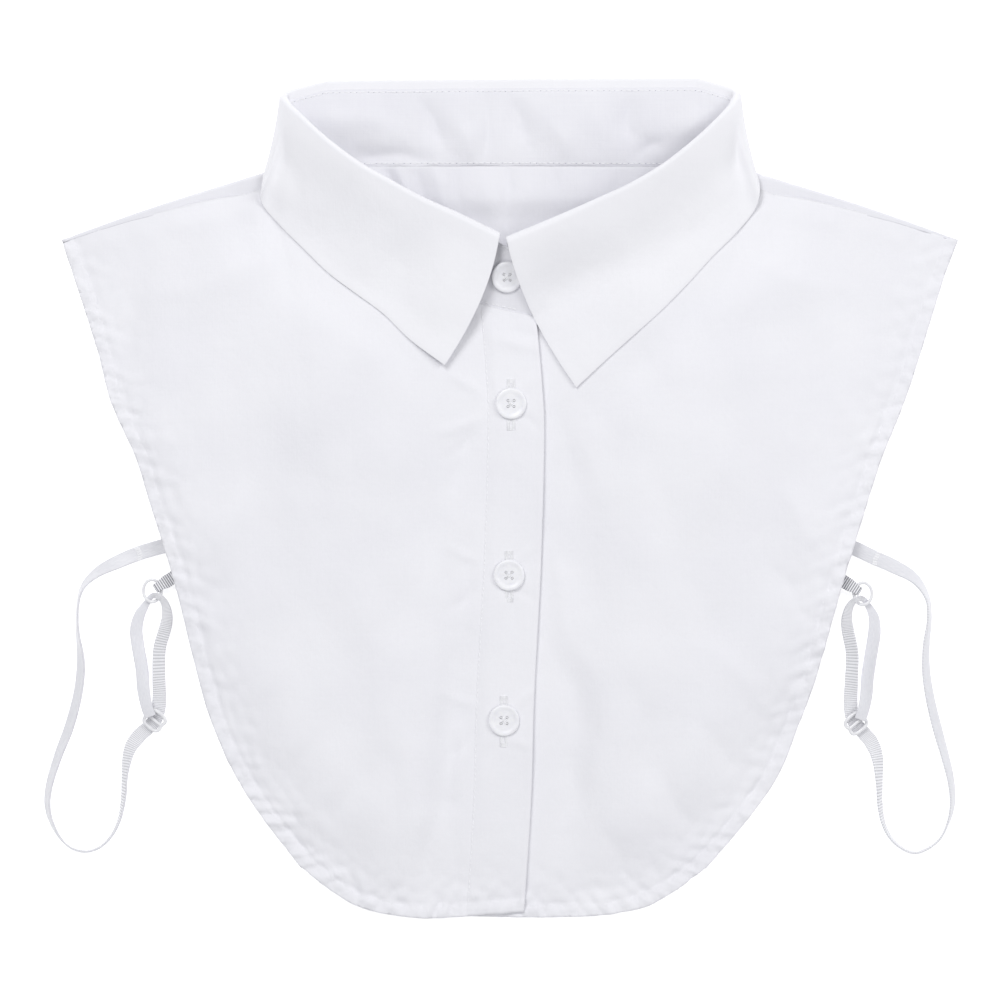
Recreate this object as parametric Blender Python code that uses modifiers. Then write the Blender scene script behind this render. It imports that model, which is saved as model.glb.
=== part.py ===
# Detachable shirt collar, laid flat and buttoned: back panel, two fronts, placket, neckband,
# collar leaf, four buttons, and at each side an elastic strap with its slider, ring and tab.
# The cloth lies on the XY plane, the collar towards +Y, its outside front facing +Z.
# The tables and sizes are in millimetres. "right" and "left" are the wearer's, -X and +X.

import math

import bmesh
import bpy
import numpy as np
from mathutils import Matrix, Vector

OBJECT_NAME = "detachable_shirt_collar"
MM = 0.001
MERGE_REACH = 0.00001

# Walls and clearances
PANEL_WALL = 1.0
COLLAR_WALL = 1.2
STRAP_WALL = 1.0
SEAM_GAP = 0.3
HEM_INSET = 1.5  # the back panel's hem lies this far inside the fronts' hem

# Heights of the cloth's middle surface
BACK_LEVEL = PANEL_WALL / 2
OVER_LEAF = 1.55  # what the back panel rises where the leaf's hidden half lies under it
UNDER_FRONT_LEVEL = 1.8  # button side at the centre front, on the back panel
OVER_FRONT_LEVEL = 4.1  # buttonhole side, on the button side
SIDE_LEVEL = 3.4  # both fronts along their sides, where the straps come out
PLACKET_STEP = 1.35
PLACKET_WIDTH = 24.0

# Shoulder: the back panel turns over a fold that runs straight from neck to tip
FOLD_NECK = (95.6, 132.3)
FOLD_TIP = (180.0, 104.8)
FOLD_BOW = 1.0
FOLD_RADIUS_NECK = 1.5
FOLD_RADIUS_TIP = 0.65

# Shares of the shoulder from neck to tip, and how far the forward seam lies from the fold
#    share  strip
SHOULDER_STRIP = (
    (0.00, 7.6),
    (0.15, 7.4),
    (0.30, 5.6),
    (0.50, 4.2),
    (0.70, 2.6),
    (0.85, 2.0),
    (1.00, 1.5),
)
FIRST_SHOULDER_SHARE = 0.015  # where the shoulder's cloth ends beside the band

# The back panel's neckline on the +X side, from the shoulder fold to the centre, and the
# line below it where the panel is level again
BACK_NECKLINE = (
    (93.6, 130.9),
    (90.4, 131.7),
    (76.8, 132.4),
    (44.8, 132.6),
    (0.0, 132.8),
)
BACK_LEVEL_LINE = (
    (93.0, 123.4),
    (82.0, 119.8),
    (44.0, 118.6),
    (0.0, 118.6),
)

# Side edge and hem of the panels, from the shoulder tip down
#        height  half width right  half width left
PANEL_OUTLINE = (
    (89.6, 175.2, 174.4),
    (59.6, 165.6, 165.0),
    (39.2, 160.0, 158.2),
    (17.6, 150.0, 149.2),
    (0.0, 144.4, 143.2),
    (-34.4, 133.6, 132.4),
    (-70.0, 124.8, 122.6),
    (-89.2, 119.2, 116.0),
    (-110.8, 109.6, 107.2),
    (-128.8, 98.0, 94.5),
    (-146.8, 84.0, 79.0),
    (-157.2, 70.6, 65.0),
    (-163.6, 58.0, 52.5),
    (-166.6, 42.0, 34.0),
)
CORNER_ROW = 10  # the row where side edge ends and hem begins

# Centre front edges from neck to hem
#                 x     y
OVER_EDGE = (
    (10.8, 71.6),
    (12.8, 45.6),
    (13.6, 25.0),
    (12.4, -24.0),
    (10.8, -56.0),
    (9.4, -84.0),
    (8.4, -120.0),
    (5.6, -164.8),
)
UNDER_EDGE = (
    (-10.8, 71.6),
    (-11.5, 0.0),
    (-13.0, -100.0),
    (-16.0, -166.8),
)

# Air under the fronts and their largest folds. A fold is a soft ridge (or, below zero, a
# trough) along a line, its height in mm and its width the reach to each side.
DOME_HEIGHT = 3.2
#           x1     y1     x2     y2   width  height
LARGE_FOLDS = (
    (-24.0, -62.0, -30.0, -122.0, 9.0, -1.3),
    (-40.0, -70.0, -46.0, -140.0, 12.0, 0.9),
    (26.0, -60.0, 25.0, -132.0, 10.0, -1.0),
    (42.0, -70.0, 40.0, -128.0, 12.0, 0.9),
    (-118.0, 60.0, -96.0, -40.0, 16.0, -0.9),
    (116.0, 62.0, 98.0, -40.0, 16.0, -0.9),
    (-70.0, 70.0, -84.0, 10.0, 14.0, 0.6),
    (74.0, 62.0, 80.0, 0.0, 14.0, 0.6),
)

# Collar stations from the centre front round the side of the neck to the centre back, for
# the wearer's right; those of the left follow. seam is where band and panels meet, roll the
# fold line of the leaf, edge the leaf's outer edge. turn is the way the outside faces at the
# roll: 90 up, 0 sideways, -90 down. bend is the roll's radius.
#   seam x      y    z  roll x      y     z  edge x      y     z turn bend
COLLAR_RIGHT = (
    (-8.8, 77.2, 6.6, -4.0, 105.6, 14.2, -26.0, 53.6, 11.2, 90, 2.4),
    (-24.0, 83.2, 6.6, -20.0, 113.2, 15.6, -39.8, 63.8, 10.6, 90, 2.2),
    (-37.0, 88.8, 6.5, -34.0, 119.2, 17.0, -50.0, 73.7, 10.4, 90, 1.8),
    (-50.0, 94.4, 6.4, -47.0, 126.0, 18.4, -61.0, 81.9, 10.4, 90, 1.6),
    (-63.2, 100.4, 6.3, -60.0, 133.4, 19.2, -72.2, 90.3, 10.2, 90, 1.6),
    (-77.0, 107.8, 6.1, -72.4, 142.8, 18.4, -82.9, 100.7, 9.8, 88, 1.6),
    (-87.6, 115.8, 5.9, -81.6, 151.4, 16.0, -91.4, 109.2, 9.4, 80, 1.6),
    (-92.0, 122.0, 5.6, -86.6, 156.4, 12.8, -99.0, 118.3, 9.2, 62, 1.6),
    (-93.4, 127.6, 5.0, -88.6, 158.8, 10.4, -101.4, 126.6, 9.0, 30, 1.6),
    (-93.2, 132.0, 3.8, -89.4, 160.8, 8.0, -101.0, 134.8, 4.8, -4, 1.5),
    (-89.6, 133.4, 2.4, -87.6, 163.4, 4.8, -95.8, 130.8, 0.7, -58, 1.4),
    (-76.8, 133.2, 2.1, -72.8, 167.4, 2.6, -76.8, 125.2, 0.6, -88, 1.4),
    (-44.8, 133.4, 2.1, -44.0, 168.4, 2.0, -44.8, 124.4, 0.6, -90, 1.4),
    (0.0, 133.6, 2.1, 0.0, 168.8, 2.0, 0.0, 124.0, 0.6, -90, 1.4),
)
COLLAR_LEFT = (
    (4.8, 75.8, 4.8, -1.6, 103.8, 15.6, 26.4, 44.8, 14.6, 90, 2.4),
    (22.0, 82.4, 5.4, 18.0, 111.8, 16.6, 39.2, 56.7, 12.6, 90, 2.3),
    (37.0, 88.8, 6.1, 34.0, 118.8, 17.0, 50.2, 66.5, 11.2, 90, 1.8),
    (50.0, 94.4, 6.4, 47.0, 124.6, 18.4, 60.7, 76.0, 10.8, 90, 1.6),
    (63.2, 100.4, 6.3, 60.6, 132.6, 19.2, 71.0, 86.5, 10.5, 90, 1.6),
    (77.0, 107.8, 6.1, 73.2, 142.6, 18.4, 80.5, 96.9, 10.0, 88, 1.6),
    (87.6, 115.8, 5.9, 82.6, 151.6, 16.0, 89.4, 105.8, 9.6, 80, 1.6),
    (92.0, 122.0, 5.6, 87.2, 156.8, 12.8, 97.4, 115.5, 9.3, 62, 1.6),
    (93.4, 127.6, 5.0, 89.0, 159.6, 10.4, 101.0, 125.6, 9.0, 32, 1.6),
    (93.2, 132.0, 3.8, 89.8, 161.8, 8.0, 100.8, 134.8, 4.8, 0, 1.5),
    (89.6, 133.4, 2.4, 87.8, 164.2, 4.8, 95.8, 130.8, 0.7, -62, 1.4),
    (76.8, 133.2, 2.1, 74.0, 168.6, 2.6, 76.8, 125.2, 0.6, -88, 1.4),
    (44.8, 133.4, 2.1, 44.0, 169.0, 2.0, 44.8, 124.4, 0.6, -90, 1.4),
)
FRONT_STATIONS = 7  # rows of the tables above that belong to a front's neckline
BAND_BELOW_ROLL = 4.0  # the band's top edge lies this far below the roll line
UNDER_END_DROP = 2.6  # the left front's band top lies lower, to pass under the right one
LEAF_SAG = 0.3  # 0 hangs the leaf straight from roll to edge, 1 lets it follow the band

# The band's buttoned ends, past the leaf's front edge. The right end lies on the left one.
#   seam x     y    z  top x      y     z
BAND_OVER_END = (
    (10.4, 72.4, 6.6, 10.2, 89.0, 10.4),
    (7.0, 73.6, 6.6, 8.6, 95.0, 11.4),
    (1.0, 75.2, 6.6, 3.6, 98.4, 11.8),
)
BAND_UNDER_END = (
    (-10.4, 72.4, 4.6, -10.2, 90.0, 6.4),
    (-7.0, 73.4, 4.6, -9.0, 96.0, 7.4),
    (-2.0, 74.2, 4.7, -6.0, 99.4, 8.2),
)
BAND_GAP = 0.4  # between band and panel, each side of the seam line

# Buttons: where each lies, the height of its underside, and its tilt about X
#     x      y    z  tilt
BUTTONS = (
    (-1.2, 88.8, 10.9, 12.5),
    (0.4, 38.4, 9.6, 0.0),
    (-0.4, -30.0, 8.5, 0.0),
    (-2.4, -88.0, 8.0, 0.0),
)
BUTTON_HOLE_RADIUS = 0.75
BUTTON_HOLE_REACH = 1.35
#                radius height
BUTTON_PROFILE = (
    (0.0, 1.1),
    (3.5, 1.1),
    (4.3, 1.8),
    (5.3, 1.9),
    (6.0, 1.3),
    (6.0, 0.6),
    (5.2, 0.0),
    (0.0, 0.0),
)

# Straps, 6 mm elastic, in the order of travel: from between the panels, round the long
# loop, under the slider, up to the ring, through it, and back over the slider. twist turns
# the strap about its own line: 0 and 180 lie flat, 90 stands on edge.
#        x       y    z width twist
STRAP_RIGHT = (
    (-130.6, -16.4, 1.9, 5.9, 0),
    (-138.8, -18.4, 1.9, 5.9, 0),
    (-148.4, -21.2, 1.5, 5.9, 6),
    (-156.4, -24.4, 1.9, 5.9, 20),
    (-165.2, -28.8, 2.8, 5.9, 48),
    (-171.2, -34.8, 3.3, 5.9, 68),
    (-173.2, -42.8, 3.4, 5.9, 76),
    (-173.2, -52.8, 3.4, 5.9, 72),
    (-172.0, -65.2, 3.0, 5.9, 52),
    (-173.2, -77.6, 2.8, 5.9, 48),
    (-176.8, -91.2, 2.8, 5.9, 46),
    (-181.2, -102.8, 3.0, 5.9, 52),
    (-184.8, -115.2, 3.1, 5.9, 58),
    (-185.2, -124.0, 3.2, 5.9, 62),
    (-182.0, -132.8, 3.3, 5.9, 70),
    (-176.8, -138.8, 3.4, 5.9, 78),
    (-170.4, -140.8, 3.4, 5.9, 84),
    (-164.4, -139.2, 3.4, 5.9, 90),
    (-159.6, -134.4, 3.4, 5.9, 98),
    (-156.4, -127.6, 3.4, 5.9, 106),
    (-154.8, -118.8, 3.3, 5.9, 114),
    (-154.2, -108.8, 3.2, 5.9, 122),
    (-152.6, -100.4, 2.3, 5.9, 145),
    (-149.4, -95.2, 1.2, 5.9, 168),
    (-146.0, -92.0, 0.6, 5.6, 180),
    (-142.8, -88.6, 0.6, 5.6, 180),
    (-141.2, -83.8, 0.6, 5.6, 180),
    (-140.8, -78.0, 1.2, 5.4, 190),
    (-140.9, -70.4, 2.1, 5.4, 208),
    (-140.6, -60.0, 2.4, 5.4, 212),
    (-138.4, -52.0, 2.8, 5.2, 206),
    (-137.4, -46.8, 3.0, 4.4, 192),
    (-137.9, -42.4, 3.5, 3.4, 182),
    (-139.2, -39.8, 3.9, 2.6, 180),
    (-140.7, -38.7, 3.95, 2.3, 180),
    (-142.5, -38.2, 2.7, 2.2, 180),
    (-144.2, -38.9, 1.15, 2.2, 180),
    (-145.3, -40.4, 0.6, 2.4, 180),
    (-146.8, -42.8, 0.6, 3.2, 178),
    (-148.8, -46.4, 1.1, 4.4, 168),
    (-150.0, -52.0, 1.8, 5.2, 156),
    (-149.2, -59.0, 2.2, 5.4, 150),
    (-147.6, -68.0, 2.5, 5.4, 150),
    (-146.9, -76.0, 3.3, 5.0, 160),
    (-145.6, -82.4, 3.8, 4.6, 176),
    (-144.0, -86.8, 3.8, 4.6, 180),
)
STRAP_LEFT = (
    (129.6, -17.6, 1.9, 5.9, 0),
    (137.6, -19.2, 1.9, 5.9, 0),
    (146.4, -23.2, 1.5, 5.9, -6),
    (154.4, -26.8, 1.9, 5.9, -20),
    (162.4, -31.6, 2.8, 5.9, -46),
    (167.2, -39.2, 3.3, 5.9, -66),
    (168.0, -48.0, 3.3, 5.9, -66),
    (166.8, -58.0, 3.2, 5.9, -58),
    (166.8, -68.8, 3.0, 5.9, -52),
    (168.4, -79.6, 2.9, 5.9, -48),
    (171.2, -91.2, 2.8, 5.9, -46),
    (174.4, -102.8, 3.0, 5.9, -52),
    (176.8, -113.2, 3.1, 5.9, -58),
    (177.2, -122.4, 3.3, 5.9, -64),
    (174.8, -131.2, 3.4, 5.9, -74),
    (170.4, -137.6, 3.4, 5.9, -80),
    (162.4, -141.2, 3.4, 5.9, -88),
    (155.2, -138.0, 3.4, 5.9, -98),
    (150.4, -131.6, 3.4, 5.9, -106),
    (148.4, -123.2, 3.3, 5.9, -114),
    (148.0, -113.2, 3.2, 5.9, -122),
    (147.4, -103.6, 2.3, 5.9, -145),
    (145.2, -97.4, 1.2, 5.9, -168),
    (142.2, -93.6, 0.6, 5.6, -180),
    (139.0, -90.0, 0.6, 5.6, -180),
    (137.2, -85.4, 0.6, 5.6, -180),
    (136.8, -79.4, 1.2, 5.4, -190),
    (137.0, -71.6, 2.1, 5.4, -208),
    (137.2, -61.6, 2.4, 5.4, -212),
    (135.6, -53.2, 2.8, 5.2, -206),
    (135.0, -48.2, 3.0, 4.4, -192),
    (135.7, -43.8, 3.5, 3.4, -182),
    (137.2, -41.0, 3.9, 2.6, -180),
    (138.8, -39.9, 3.95, 2.3, -180),
    (140.6, -39.4, 2.7, 2.2, -180),
    (142.3, -40.1, 1.15, 2.2, -180),
    (143.4, -41.6, 0.6, 2.4, -180),
    (144.9, -44.0, 0.6, 3.2, -178),
    (146.2, -47.6, 1.1, 4.4, -168),
    (146.2, -53.6, 1.8, 5.2, -156),
    (144.8, -62.0, 2.2, 5.4, -150),
    (143.4, -71.0, 2.5, 5.4, -150),
    (142.8, -78.0, 3.3, 5.0, -160),
    (141.6, -84.0, 3.8, 4.6, -176),
    (140.2, -88.0, 3.8, 4.6, -180),
)

# Ring that ties each strap to its side
RING_RIGHT = (-143.5, -36.4, 2.2)
RING_LEFT = (141.6, -37.6, 2.2)
RING_HALF_WIDTH = 3.6
RING_HALF_HEIGHT = 4.45
RING_WIRE = 0.65

# Slider on each strap: centre, and its turn about Z
SLIDER_RIGHT = (-142.6, -88.4, 2.15, -40.0)
SLIDER_LEFT = (138.8, -89.6, 2.15, 40.0)
SLIDER_WIDTH = 9.4
SLIDER_LENGTH = 8.4
SLIDER_WALL = 1.4
SLIDER_BAR = 1.4

# Tab that holds the ring to the panel's side, as reach from the ring's centre and height:
# from between the panels over the ring's wire, through the ring, and back under the wire
TAB_WIDTH = 3.4
TAB_WALL = 0.8
TAB_DIRECTION = (0.84, 0.54)
#   reach    z
TAB_ROUTE = (
    (16.5, 1.85),
    (11.0, 1.9),
    (8.0, 2.7),
    (5.6, 3.5),
    (3.8, 3.65),
    (2.2, 3.4),
    (1.6, 2.2),
    (2.2, 1.0),
    (3.8, 0.7),
    (6.5, 0.65),
)

# Mesh density
BACK_NECK_COLUMNS = 10
SHOULDER_COLUMNS = 6
PANEL_ROWS = 15
TURN_ROWS = 7
LEAF_RUN_ROWS = 6
LEAF_ROLL_ROWS = 4
STATION_STEPS = 2
STRAP_STEPS = 2
BUTTON_STEPS = 14
TAB_STATIONS = 16


def clear_scene():
    for item in list(bpy.data.objects):
        bpy.data.objects.remove(item)


def new_collection(name):
    collection = bpy.data.collections.new(name)
    bpy.context.scene.collection.children.link(collection)
    return collection


def finish_material(name, colour, roughness):
    material = bpy.data.materials.new(name)
    material.use_nodes = True
    shader = material.node_tree.nodes["Principled BSDF"]
    shader.inputs["Base Color"].default_value = (*colour, 1.0)
    shader.inputs["Roughness"].default_value = roughness
    shader.inputs["Metallic"].default_value = 0.0
    return material


def smooth_rows(rows, steps):
    """A Catmull-Rom curve through the rows, with this many steps from each to the next."""
    points = np.array(rows, dtype=float)
    padded = np.vstack([2 * points[0] - points[1], points, 2 * points[-1] - points[-2]])
    dense = []
    for first in range(len(points) - 1):
        before, start, end, after = padded[first : first + 4]
        for step in range(steps):
            t = step / steps
            bend = 2 * before - 5 * start + 4 * end - after
            twist = 3 * start - before - 3 * end + after
            dense.append(0.5 * (2 * start + (end - before) * t + bend * t**2 + twist * t**3))
    dense.append(points[-1])
    return np.array(dense)


def smooth_line(rows, shares):
    """A smooth curve through the rows, read at shares of its length."""
    dense = smooth_rows(rows, 16)
    steps = np.linalg.norm(np.diff(dense[:, :3], axis=0), axis=1)
    reach = np.concatenate([[0.0], np.cumsum(steps)])
    wanted = np.asarray(shares) * reach[-1]
    return np.stack([np.interp(wanted, reach, dense[:, axis]) for axis in range(dense.shape[1])], 1)


def even(count):
    return np.linspace(0.0, 1.0, count + 1)


def smooth_step(value, low, high):
    t = np.clip((value - low) / (high - low), 0.0, 1.0)
    return t * t * (3.0 - 2.0 * t)


def with_height(points, heights):
    return np.column_stack([np.asarray(points, dtype=float)[:, :2], heights])


def coons_patch(top, bottom, centre, side, shares):
    """A surface spanned by four edges that meet at their ends, as rows of points. shares
    are the columns' places along top and bottom."""
    u = np.asarray(shares)[None, :, None]
    v = np.linspace(0.0, 1.0, len(centre))[:, None, None]
    across = (1 - u) * centre[:, None, :] + u * side[:, None, :]
    down = (1 - v) * top[None, :, :] + v * bottom[None, :, :]
    corners = (
        (1 - u) * (1 - v) * top[0]
        + u * (1 - v) * top[-1]
        + (1 - u) * v * bottom[0]
        + u * v * bottom[-1]
    )
    return across + down - corners


def fold_frame():
    """The shoulder fold's start, its direction to the tip, its outward normal and length."""
    start = np.array(FOLD_NECK)
    run = np.array(FOLD_TIP) - start
    length = np.linalg.norm(run)
    along = run / length
    return start, along, np.array([-along[1], along[0]]), length


def fold_radius(share):
    return FOLD_RADIUS_NECK + (FOLD_RADIUS_TIP - FOLD_RADIUS_NECK) * np.clip(share, 0.0, 1.0)


def fold_outline(share):
    """A point on the shoulder's outer line, on the +X side."""
    start, along, outward, length = fold_frame()
    return start + along * length * share + outward * FOLD_BOW * math.sin(math.pi * share)


def strip_width(share):
    shares, widths = zip(*SHOULDER_STRIP)
    return float(np.interp(share, shares, widths))


def forward_seam(share):
    """The forward shoulder seam, on the +X side."""
    return fold_outline(share) - fold_frame()[2] * strip_width(share)


def back_lift(x, y):
    """How far the back panel is raised by the leaf's hidden half under it."""
    return OVER_LEAF * smooth_step(y, 112.0, 121.5) * (1.0 - smooth_step(abs(x), 102.5, 113.0))


def shoulder_level(share):
    """The middle height of the forward seam: the upper layer of the turned shoulder."""
    x, y = fold_outline(share)
    return BACK_LEVEL + back_lift(x, y) + 2.0 * fold_radius(share)


def turn_over(x, y):
    """Carries a point of the flat back pattern (x of either sign) over the shoulder fold."""
    start, along, outward, length = fold_frame()
    here = np.array([abs(x), y]) - start
    share = float(here @ along) / length
    radius = float(fold_radius(share))
    bow = FOLD_BOW * math.sin(math.pi * min(max(share, 0.0), 1.0))
    past = float(here @ outward) - bow + radius + PANEL_WALL / 2
    height = BACK_LEVEL + float(back_lift(abs(x), y))
    if past <= 0.0:
        return x, y, height
    arc = math.pi * radius
    if past < arc:
        angle = past / radius
        move = radius * math.sin(angle) - past
        rise = radius * (1.0 - math.cos(angle))
    else:
        move = -(past - arc) - past
        rise = 2.0 * radius
    point = np.array([abs(x), y]) + outward * move
    foot = BACK_LEVEL + float(back_lift(point[0], min(point[1], y)))
    return math.copysign(point[0], x), point[1], max(height, foot) + rise


def pattern_reach(share):
    """How far the flat pattern reaches past the fold's axis at a share of the shoulder."""
    radius = float(fold_radius(share))
    return strip_width(share) - radius - PANEL_WALL / 2 + math.pi * radius


def fold_axis_point(share):
    radius = float(fold_radius(share))
    return fold_outline(share) - fold_frame()[2] * (radius + PANEL_WALL / 2)


def mirrored(points, side):
    flipped = np.array(points, dtype=float)
    flipped[:, 0] *= side
    return flipped


def outline_rows(side):
    column = 1 if side < 0 else 2
    return [(side * row[column], row[0]) for row in PANEL_OUTLINE]


def fold_relief(x, y):
    """The air under the fronts and their large folds, as a height over the plain patch."""
    middle = smooth_step(170.0 - np.abs(x) - 0.16 * np.abs(y + 20.0), 0.0, 60.0)
    below_neck = 1.0 - smooth_step(y - 0.5 * np.abs(x), 20.0, 66.0)
    dome = DOME_HEIGHT * middle * smooth_step(y, -166.0, -110.0) * below_neck
    height = dome * (0.55 + 0.45 * smooth_step(np.abs(x), 24.0, 56.0))
    for x1, y1, x2, y2, width, rise in LARGE_FOLDS:
        run = np.array([x2 - x1, y2 - y1])
        length = np.hypot(*run)
        share = np.clip(((x - x1) * run[0] + (y - y1) * run[1]) / length**2, 0.0, 1.0)
        away = np.hypot(x - x1 - share * run[0], y - y1 - share * run[1])
        fade = np.sin(math.pi * (0.15 + 0.7 * share))
        height = height + rise * fade * np.exp(-((away / width) ** 2))
    return height


def neck_line(side):
    """A front's neckline from its free edge to the shoulder, station by station."""
    if side < 0:
        rows = COLLAR_RIGHT
        ends = BAND_OVER_END
    else:
        rows = COLLAR_LEFT
        ends = BAND_UNDER_END
    stations = smooth_rows(rows, STATION_STEPS)[: FRONT_STATIONS * STATION_STEPS + 1]
    feet = np.vstack([np.array(ends)[:2, 0:3], stations[:, 0:3]])
    tops = np.vstack([np.array(ends)[:2, 3:6], stations[:, 3:6]])
    return np.array([foot - unit(top - foot) * BAND_GAP for foot, top in zip(feet, tops)])


def length_shares(points):
    reach = np.concatenate([[0.0], np.cumsum(np.linalg.norm(np.diff(points[:, :2], axis=0), axis=1))])
    return reach / reach[-1]


def front_surface(side):
    """A front's middle surface as rows of points from neck and shoulder to the hem."""
    over = side < 0
    level = OVER_FRONT_LEVEL if over else UNDER_FRONT_LEVEL
    seam = []
    for share in np.linspace(FIRST_SHOULDER_SHARE, 1.0, SHOULDER_COLUMNS):
        x, y = forward_seam(share) - fold_frame()[2] * SEAM_GAP
        seam.append((side * x, y, shoulder_level(share)))
    top = np.vstack([neck_line(side), seam])
    outline = outline_rows(side)
    tip_level = top[-1][2]
    side_rows = [tuple(top[-1])]
    for x, y in outline[: CORNER_ROW + 1]:
        side_rows.append((x, y, tip_level + (SIDE_LEVEL - tip_level) * smooth_step(-y, -75.0, -15.0)))
    side_edge = smooth_line(side_rows, even(PANEL_ROWS))
    centre_rows = OVER_EDGE if over else UNDER_EDGE
    heights = [top[0][2] + (level - top[0][2]) * smooth_step(-row[1], -71.6, 60.0) for row in centre_rows]
    centre = smooth_line([tuple(top[0])] + list(with_height(centre_rows, heights))[1:], even(PANEL_ROWS))
    hem_rows = [tuple(centre[-1])]
    for x, y in reversed(outline[CORNER_ROW:]):
        hem_rows.append((x, y, level + (SIDE_LEVEL - level) * smooth_step(abs(x), 16.0, 60.0)))
    hem_rows[-1] = tuple(side_edge[-1])
    hem = smooth_line(hem_rows, length_shares(top))
    surface = coons_patch(top, hem, centre, side_edge, length_shares(top))
    surface[:, :, 2] += fold_relief(surface[:, :, 0], surface[:, :, 1])
    return surface


def back_half():
    """The back panel's top and level lines on the +X side, from shoulder tip to centre.
    The column at the neck corner is there twice: it ends the strip that turns over, and it
    begins the neckline, which stays below."""
    top = []
    level = []
    for share in np.linspace(1.0, FIRST_SHOULDER_SHARE, SHOULDER_COLUMNS):
        axis = fold_axis_point(share)
        level.append(axis)
        top.append(axis + fold_frame()[2] * pattern_reach(share))
    corner = tuple(level[-1])
    shares = even(BACK_NECK_COLUMNS) ** 1.2
    top += list(smooth_line([corner, *BACK_NECKLINE], shares))
    level += list(smooth_line([corner, *BACK_LEVEL_LINE], shares))
    return np.array(top), np.array(level)


def back_surface():
    """The back panel from its forward shoulder seams and neck to its hem, side to side."""
    top_half, level_half = back_half()
    pattern_top = np.vstack([mirrored(top_half, -1), top_half[-2::-1]])
    level_line = np.vstack([mirrored(level_half, -1), level_half[-2::-1]])
    edges = []
    for side in (-1, 1):
        rows = []
        for x, y in outline_rows(side):
            pull = 1.0 - HEM_INSET / math.hypot(x, y)
            rows.append((x * pull, y * pull))
        edges.append(rows)
    right_side = smooth_line([tuple(level_line[0])] + edges[0][: CORNER_ROW + 1], even(PANEL_ROWS))
    left_side = smooth_line([tuple(level_line[-1])] + edges[1][: CORNER_ROW + 1], even(PANEL_ROWS))
    hem_rows = edges[0][CORNER_ROW:] + [(0.0, -166.4)] + edges[1][CORNER_ROW:][::-1]
    shares = length_shares(level_line)
    hem = smooth_line(hem_rows, shares)
    flat = coons_patch(level_line, hem, right_side, left_side, shares)
    rows = []
    for step in range(TURN_ROWS):
        share = step / TURN_ROWS
        rows.append(pattern_top * (1.0 - share) + level_line * share)
    pattern = np.concatenate([np.array(rows), flat], axis=0)
    surface = np.zeros((*pattern.shape[:2], 3))
    for row in range(pattern.shape[0]):
        for column in range(pattern.shape[1]):
            surface[row, column] = turn_over(*pattern[row, column])
    return surface


def unit(vector):
    return vector / np.linalg.norm(vector)


def collar_stations():
    """Stations round the whole neck from the wearer's right front to the left front."""
    return smooth_rows(COLLAR_RIGHT + COLLAR_LEFT[::-1], STATION_STEPS)


def station_frame(row):
    """Seam, roll and edge points of a station, the band's direction and the outward normal."""
    seam, roll, edge = row[0:3], row[3:6], row[6:9]
    up = unit(roll - seam)
    turn = math.radians(row[9])
    sideways = -1.0 if seam[0] < 0 else 1.0
    outside = np.array([sideways * math.cos(turn), 0.0, math.sin(turn)])
    outside = unit(outside - up * (outside @ up))
    return seam, roll, edge, up, outside * row[10]


def band_top(row):
    """The middle of the band's top edge at a station."""
    seam, roll, edge, up, bend = station_frame(row)
    top = roll - up * BAND_BELOW_ROLL - bend
    top[2] -= UNDER_END_DROP * (1.0 - smooth_step(seam[0], 5.0, 37.0)) * (seam[1] < 100.0 and seam[0] > 0.0)
    return top


def leaf_section(row):
    """The leaf across a station: up from the band's top edge, over the roll, to its edge."""
    roll, edge, up, bend = station_frame(row)[1:]
    radius = np.linalg.norm(bend)
    centre = roll - up * radius
    points = [band_top(row) + up * (SEAM_GAP + BAND_GAP)]
    for step in range(LEAF_ROLL_ROWS + 1):
        angle = math.pi * step / LEAF_ROLL_ROWS
        points.append(centre - bend * math.cos(angle) + up * radius * math.sin(angle))
    start = points[-1]
    control = start - up * np.linalg.norm(edge - start) * 0.45
    straight = start[2] + (edge[2] - start[2]) * 0.45
    control[2] = straight + (control[2] - straight) * LEAF_SAG
    for step in range(1, LEAF_RUN_ROWS + 1):
        t = step / LEAF_RUN_ROWS
        points.append((1 - t) ** 2 * start + 2 * t * (1 - t) * control + t**2 * edge)
    for point in points:
        point[2] = max(point[2], COLLAR_WALL / 2)
    return points


def leaf_surface():
    return np.array([leaf_section(row) for row in collar_stations()])


def band_surface():
    """The band from its upper buttoned end round the neck to its lower one."""
    rows = [(np.array(row[0:3]), np.array(row[3:6])) for row in BAND_OVER_END]
    for row in collar_stations():
        rows.append((row[0:3], band_top(row)))
    rows += [(np.array(row[0:3]), np.array(row[3:6])) for row in BAND_UNDER_END[::-1]]
    grid = []
    for foot, top in rows:
        start = foot + unit(top - foot) * BAND_GAP
        grid.append([start + (top - start) * share for share in even(3)])
    return np.array(grid)


def grid_mesh(name, surface, splits=()):
    """A mesh grid whose points are moved to the rows and columns of a surface. After each
    column in splits the cloth parts, as far as the two columns' points differ."""
    rows, columns = surface.shape[0] - 1, surface.shape[1] - 1
    work = bmesh.new()
    bmesh.ops.create_grid(work, x_segments=columns, y_segments=rows, size=0.5)
    parted = []
    for face in work.faces:
        if round((face.calc_center_median().x + 0.5) * columns - 0.5) in splits:
            parted.append(face)
    bmesh.ops.delete(work, geom=parted, context="FACES")
    for vertex in work.verts:
        column = round((vertex.co.x + 0.5) * columns)
        row = round((vertex.co.y + 0.5) * rows)
        vertex.co = Vector(surface[row, column]) * MM
    bmesh.ops.remove_doubles(work, verts=work.verts, dist=MERGE_REACH)
    bmesh.ops.recalc_face_normals(work, faces=work.faces)
    mesh = bpy.data.meshes.new(name)
    work.to_mesh(mesh)
    work.free()
    return mesh


def place(collection, name, mesh, material):
    item = bpy.data.objects.new(name, mesh)
    mesh.materials.append(material)
    mesh.shade_smooth()
    collection.objects.link(item)
    return item


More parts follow.
